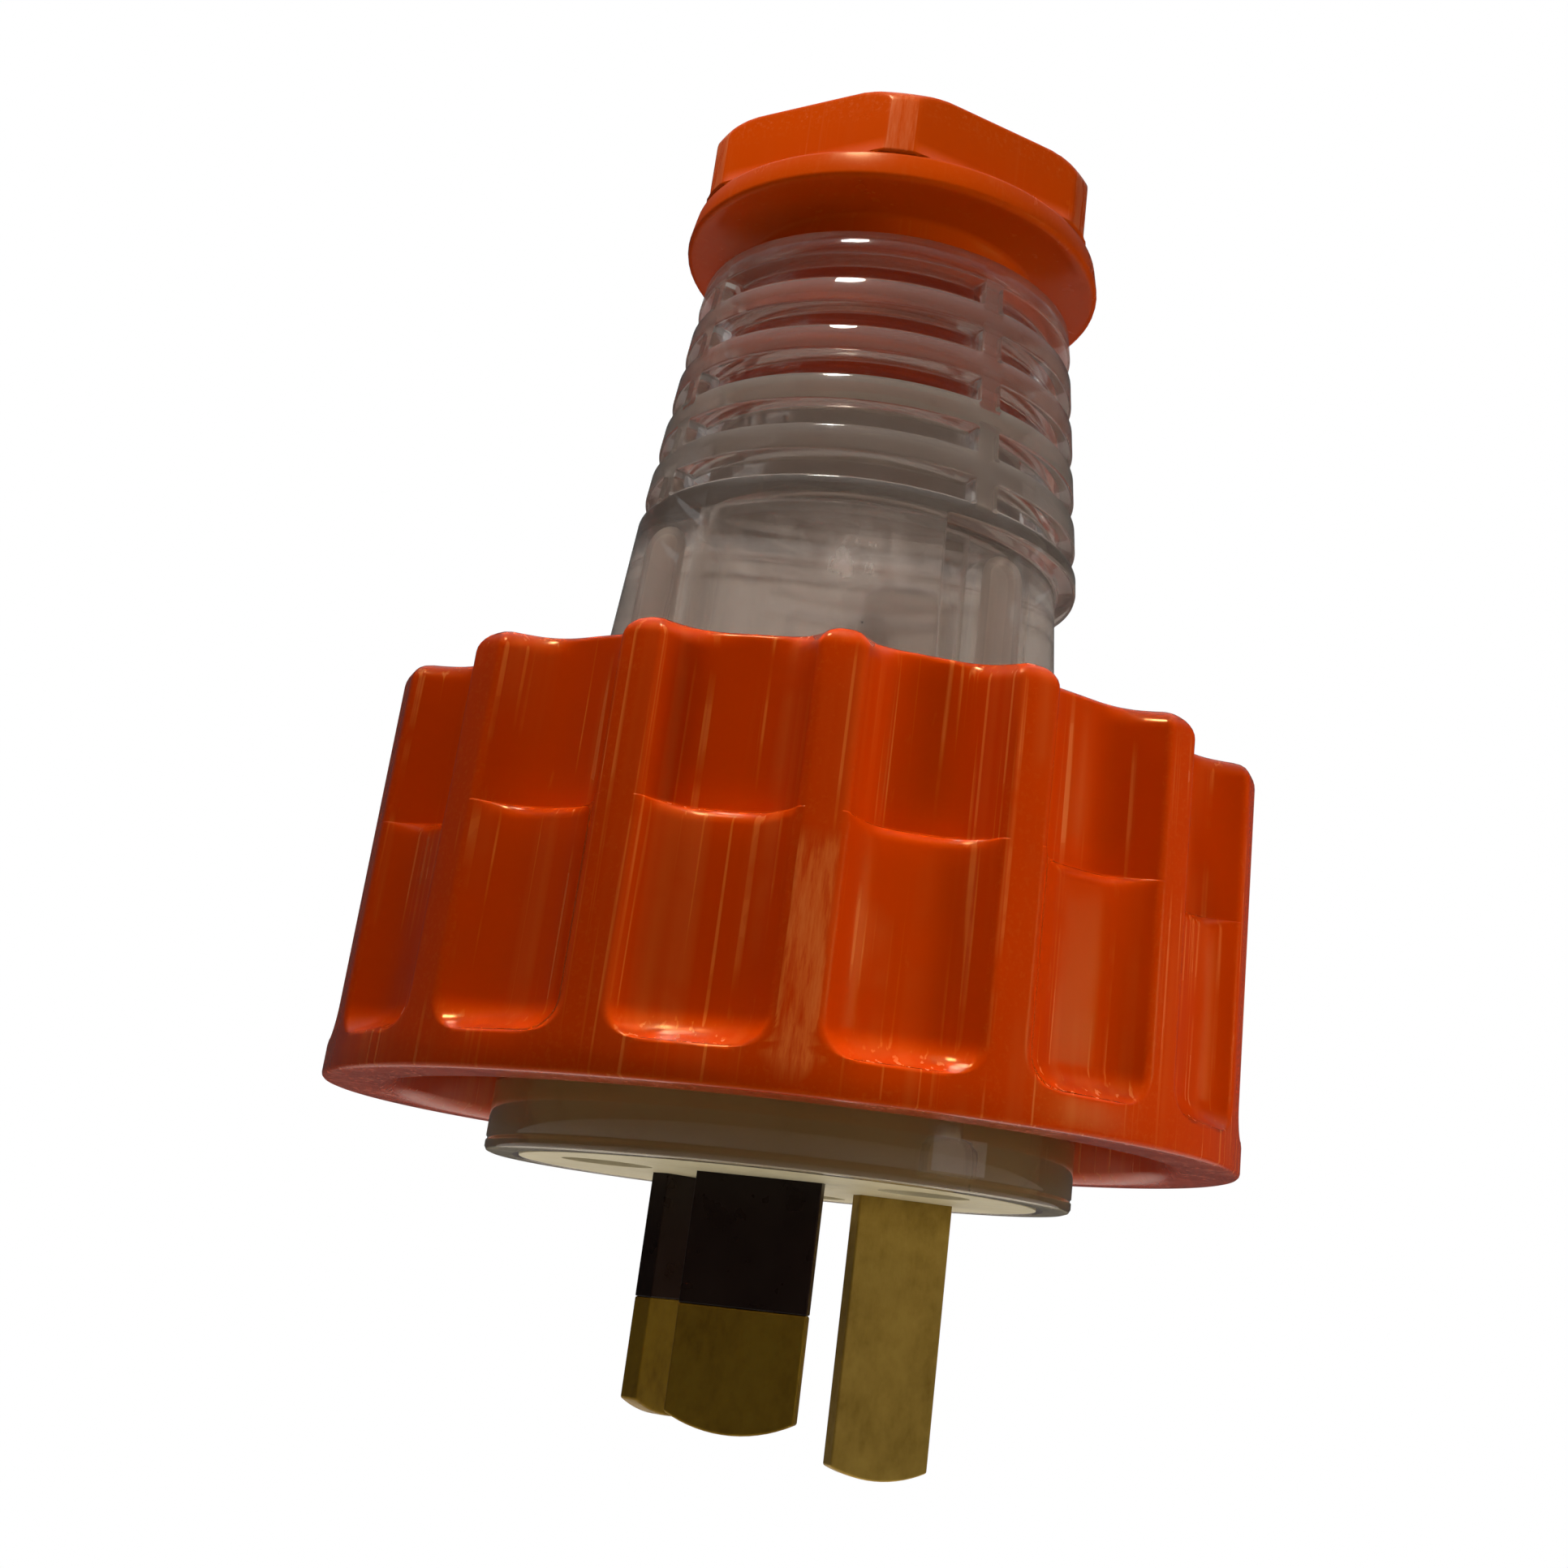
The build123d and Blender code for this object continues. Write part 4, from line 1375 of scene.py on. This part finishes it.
@dataclass
class SoftenedPiece:
    """CAD node with its sharp edges rounded off."""

    node: str
    name: str
    slot: Slot
    edge: float
    part: Part = Part.BODY
    edge_steps: int = 3
    flat_angle: float = 1.0
    sharp_angle: float = 35.0

    def shape(self, material: Material) -> Piece:
        """Makes the rounded copy.

        Args:
            material: finish of the piece.

        Returns:
            The object, not yet on a body.
        """
        mesh = bpy.data.meshes.new(self.name)
        with reworked(mesh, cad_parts[self.node].data) as work:
            bmesh.ops.remove_doubles(work, verts=work.verts, dist=JOIN)
            flat = math.radians(self.flat_angle)
            bmesh.ops.dissolve_limit(work, angle_limit=flat, verts=work.verts, edges=work.edges)
        piece = placed(mesh, self.name)
        bevel = piece.modifiers.new("edges", "BEVEL")
        bevel.width = self.edge * MM
        bevel.segments = self.edge_steps
        bevel.limit_method = "ANGLE"
        bevel.angle_limit = math.radians(self.sharp_angle)
        piece.modifiers.new("normals", "WEIGHTED_NORMAL").keep_sharp = True
        piece.data.shade_smooth()
        final = evaluated(piece)
        piece.modifiers.clear()
        piece.data = final
        final.materials.clear()
        final.materials.append(material)
        return piece

    def build(self, material: Material) -> Piece:
        """Makes the piece and puts it on its body."""
        return settle(self.shape(material), self.part, self.slot, self.node)


@dataclass
class SqueezedPiece(SoftenedPiece):
    """Soft CAD node that sits between two bodies along the plug's axis."""

    top_part: Part = Part.SLIP

    def build(self, material: Material) -> Piece:
        """Makes the piece and leaves it fixed in place, on neither body.

        Args:
            material: finish of the piece.

        Returns:
            The finished object.
        """
        piece = self.shape(material)
        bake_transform(piece)
        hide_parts(self.node)
        LOG.info("%s is squeezed between %s and %s", piece.name, self.part.value, self.top_part.value)
        return piece


@dataclass(frozen=True)
class Lamp:
    """Soft round or wide lamp aimed at a point of the plug."""

    name: str
    place: Point
    aim: Point
    size: float
    power: float
    spread: float = 180.0
    mirrored: bool = False
    wide: float = 1.0
    colour: Colour = (1.0, 0.94, 0.87)

    def build(self) -> None:
        """Places the lamp."""
        data = bpy.data.lights.new(self.name, "AREA")
        data.shape = "ELLIPSE"
        data.size = self.size * self.wide
        data.size_y = self.size
        data.energy = self.power
        data.color = self.colour
        data.spread = math.radians(self.spread)
        lamp = placed(data, self.name)
        lamp.location = self.place
        aim = Vector(self.aim) - lamp.location
        lamp.rotation_euler = aim.to_track_quat("-Z", "Y").to_euler()
        lamp.visible_camera = False
        lamp.visible_glossy = self.mirrored
        lamp.visible_transmission = self.mirrored


@dataclass(frozen=True)
class Studio:
    """Camera at the photograph's angle, soft lamps, pale floor and white surroundings."""

    eye: Point = (-0.0523415, -0.1404662, -0.0068873)
    right: Point = (0.897472, -0.429272, 0.101344)
    up: Point = (-0.228762, -0.256573, 0.939062)
    forward: Point = (0.377111, 0.865965, 0.328468)
    lens: float = 43.82
    sensor: float = 36.0
    shift: Pair = (-0.1037, -0.0964)
    clip: Pair = (0.01, 20.0)
    fill: float = 0.1
    mirrored: float = 0.05
    ceiling: Pair = (0.56, 0.8)
    overhead: float = 0.7
    through: float = 0.56
    floor_low: float = -0.12
    floor_radius: float = 0.45
    floor_hole: float = 0.002
    floor_grid: tuple[int, int] = (12, 96)
    floor_colour: Colour = (0.86, 0.86, 0.86)
    floor_gloss: float = 0.8
    floor_fade: float = 0.2
    floor_glow: float = 0.5
    lamps: tuple[Lamp, ...] = (
        Lamp("key_lamp", (-0.0591, -0.0496, 0.172), (0.0, 0.0, 0.033), 0.025, 0.165, mirrored=True),
        Lamp("ring_lamp", (0.2145, -0.18, 0.03), (0.0, 0.0, 0.012), 0.1, 0.034, 38.0),
        Lamp("ledge_lamp", (-0.022, -0.05, 0.2), (-0.012, -0.033, 0.01), 0.012, 0.009, 18.0, wide=7.0),
        Lamp("front_lamp", (-0.03, -0.35, 0.04), (0.0, 0.0, 0.033), 0.2, 0.085),
        Lamp("low_lamp", (-0.045, 0.022, -0.112), (0.0, 0.0, 0.0), 0.03, 0.0042, 120.0),
        Lamp("back_lamp", (0.1, 0.27, 0.2), (0.0, 0.0, 0.033), 0.25, 1.8),
    )

    def camera(self) -> None:
        """Places the camera."""
        data = bpy.data.cameras.new("photo_camera")
        data.sensor_fit = "HORIZONTAL"
        data.sensor_width = self.sensor
        data.lens = self.lens
        data.shift_x, data.shift_y = self.shift
        data.clip_start, data.clip_end = self.clip
        camera = placed(data, "photo_camera")
        axes = Matrix((self.right, self.up, [-c for c in self.forward])).transposed()
        camera.matrix_world = Matrix.Translation(self.eye) @ axes.to_4x4()
        bpy.context.scene.camera = camera

    def world(self) -> None:
        """White to the camera, dimmer through clear plastic and in reflections, a plain fill on the plug."""
        world = bpy.data.worlds.new("white_room")
        bpy.context.scene.world = world
        world.use_nodes = True
        sheet = NodeSheet(world.node_tree)
        path = sheet.add("ShaderNodeLightPath").outputs
        around = sheet.add("ShaderNodeTexCoord").outputs["Generated"]
        upward = sheet.add("ShaderNodeSeparateXYZ", {0: around}).outputs["Z"]
        ceiling = sheet.span(upward, self.ceiling, self.mirrored, self.overhead)
        light = sheet.mix(path["Is Glossy Ray"], self.fill, ceiling)
        light = sheet.mix(path["Is Transmission Ray"], light, self.through)
        light = sheet.mix(path["Is Camera Ray"], light, 1.0)
        sheet.wire(sheet.find("BACKGROUND"), {"Color": (1.0, 1.0, 1.0), "Strength": light})

    def floor_finish(self) -> Material:
        """Pale finish that fades into the white surroundings, for rays that show them.

        Returns:
            The material.
        """
        sheet = ShaderSheet("floor_white")
        sheet.wire(sheet.shader, {"Base Color": self.floor_colour, "Roughness": self.floor_gloss})
        away = sheet.add("ShaderNodeVectorMath", {0: sheet.coords}, operation="LENGTH").outputs["Value"]
        reach = (self.floor_fade * self.floor_radius, self.floor_radius)
        path = sheet.add("ShaderNodeLightPath").outputs
        shown = sheet.math("MAXIMUM", path["Is Camera Ray"], path["Is Transmission Ray"])
        glow = sheet.add("ShaderNodeEmission")
        mixed = sheet.add("ShaderNodeMixShader", {
            0: sheet.math("MULTIPLY", sheet.span(away, reach, self.floor_glow), shown),
            1: sheet.shader.outputs[0], 2: glow.outputs[0],
        })
        sheet.wire(sheet.find("OUTPUT_MATERIAL"), {"Surface": mixed.outputs[0]})
        return sheet.material

    def floor(self) -> None:
        """Pale round floor under the plug."""
        rings, count = self.floor_grid
        angles = np.linspace(-math.pi, math.pi, count, endpoint=False)
        radii = np.linspace(self.floor_hole, self.floor_radius, rings) / MM
        level = self.floor_low / MM
        points = np.concatenate([turned(radius, level, angles) for radius in radii]) * MM
        index = np.arange(rings * count).reshape(rings, count)
        onward = np.roll(index, -1, axis=1)
        faces = np.stack([index[:-1], index[1:], onward[1:], onward[:-1]], -1).reshape(-1, 4)
        mesh = bpy.data.meshes.new("floor")
        mesh.from_pydata(points.tolist(), [], [*faces.tolist(), tuple(range(count))])
        mesh.materials.append(self.floor_finish())
        placed(mesh, "floor")

    def build(self) -> None:
        """Sets the whole stage."""
        self.camera()
        for lamp in self.lamps:
            lamp.build()
        self.world()
        self.floor()
        bpy.context.scene.view_settings.view_transform = "Standard"


RING_ORANGE = MouldedFinish(
    "ring_orange", (0.45, 0.034, 0.0), (0.42, 0.03, 0.0), (0.66, 0.19, 0.04), scratches=0.75, shine=0.3,
)
# the nut's rubbed colour also paints the highlight on its corner facets
NUT_ORANGE = MouldedFinish(
    "nut_orange", (0.52, 0.054, 0.0), (0.51, 0.051, 0.0), (0.66, 0.2, 0.07), 0.2, 0.34, 0.12, shine=0.16,
)
BODY_FINISHES = {
    Zone.THICK: ClearFinish("hazy_clear", (0.6, 0.5, 0.42), (0.66, 0.56, 0.48), 0.05, 0.86, 0.9),
    Zone.WINDOW: ClearFinish("window_clear", (0.62, 0.48, 0.4), (0.66, 0.52, 0.44), 0.05, 0.95, 0.42),
    Zone.INNER: ClearFinish("inner_clear", (0.66, 0.55, 0.47), (0.7, 0.59, 0.51), 0.06, 0.95, 0.48),
    # painted shade: the skirt is tinted dark amber-brown for the shaded carrier behind it and orange light
    # from the ring
    Zone.SHADED_NOSE: ClearFinish("shaded_nose_clear", (0.38, 0.25, 0.1), (0.46, 0.31, 0.15), 0.03, 0.9, 0.92),
    # painted shade: dark red tint for the shaded orange shank seen through these windows
    Zone.SHADED_SHANK_WINDOW: ClearFinish("shaded_shank_window", (0.4, 0.18, 0.13), (0.44, 0.21, 0.15), 0.05, 0.98, 0.7),
    Zone.RIM: ClearFinish("rim_clear", (0.5, 0.42, 0.28), (0.58, 0.5, 0.35), 0.1, 0.4, 1.0),
    Zone.HOLE: ClearFinish("frosted_hole", (0.86, 0.81, 0.75), (0.92, 0.88, 0.82), 0.3, 0.35, 1.0),
}
CREAM = SatinFinish("cream_moulding", (0.74, 0.66, 0.43), (0.68, 0.59, 0.36), 0.42, 0.35)
BRASS = MetalFinish("dull_brass", (0.5, 0.33, 0.065), (0.27, 0.165, 0.024), 0.4, 260.0, 0.8)
# painted shade: a darker copy of the brass for the line and neutral blades, which stand in shade
SHADED_BRASS = MetalFinish("painted_shade_brass", (0.3, 0.18, 0.015), (0.16, 0.09, 0.005), 0.4, 260.0, 0.8)
STEEL = MetalFinish("plated_steel", (0.55, 0.54, 0.52), (0.36, 0.34, 0.31), 0.3, 500.0)
BLACK = SatinFinish("black_sleeve", (0.007, 0.003, 0.002), (0.012, 0.006, 0.004), 0.3, 0.2, 0.2)
BLACK_RUBBER = SatinFinish("black_seal", (0.018, 0.017, 0.016), (0.03, 0.028, 0.026), 0.6, 0.3)
GREY_RUBBER = SatinFinish("pale_bush", (0.32, 0.28, 0.25), (0.27, 0.23, 0.2), 0.55, 0.3)
WHITE = SatinFinish("nylon_washer", (0.46, 0.41, 0.35), (0.4, 0.35, 0.3), 0.45, 0.2)


def dress_nodes(names: list[str], material: Material) -> None:
    """Gives CAD nodes that keep their own shape a finish.

    Args:
        names: nodes to dress.
        material: their finish.
    """
    for name in names:
        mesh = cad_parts[name].data
        mesh.materials.clear()
        mesh.materials.append(material)
        LOG.info("%s keeps its shape", name)


def main() -> None:
    """Builds every piece of the plug and its stage."""
    logging.basicConfig(level=logging.INFO, format="%(message)s")
    copies, helix = TurnedCopies(), HelixRidge()
    ring_orange, nut_orange = RING_ORANGE.material(), NUT_ORANGE.material()
    ring, nut = LockingRing(), GlandNut()
    ring.build(copies, ring_orange)
    Thread(
        "ring_thread", Part.RING, ring.minor, low=6.5, pitch=3.2, turns=3.6, steps=96, ridge=0.55,
    ).build(helix, ring_orange)
    nut.build(copies, nut_orange)
    Thread(
        "nut_thread", Part.NUT, nut.shank, low=61.0, pitch=2.0, turns=6.5, steps=72, ridge=0.45,
    ).build(helix, nut_orange)
    ClearBody().build([BODY_FINISHES[zone].material() for zone in Zone])
    SoftenedPiece("pin_carrier", "carrier_moulding", Slot.CREAM, 0.2).build(CREAM.material())
    # the line and neutral blades take the darker brass as painted shade
    brass, shaded_brass, steel = BRASS.material(), SHADED_BRASS.material(), STEEL.material()
    for name, metal in (("active", shaded_brass), ("neutral", shaded_brass), ("earth", brass)):
        SoftenedPiece(name + "_pin", name + "_blade", Slot.BRASS, 0.16).build(metal)
        dress_nodes([name + "_terminal"], brass)
        dress_nodes([name + "_terminal_screw"], steel)
    black = BLACK.material()
    for name in ("active", "neutral"):
        SoftenedPiece(name + "_sleeve", name + "_insulation", Slot.BLACK, 0.12).build(black)
    dress_nodes(["carrier_screw_a", "carrier_screw_b", "carrier_screw_c"], steel)
    dress_nodes(["carrier_seal", "face_seal"], BLACK_RUBBER.material())
    SqueezedPiece("gland_bush", "bush_rubber", Slot.GREY_RUBBER, 0.2).build(GREY_RUBBER.material())
    dress_nodes(["gland_washer"], WHITE.material())
    Studio().build()


if __name__ == "__main__":
    main()
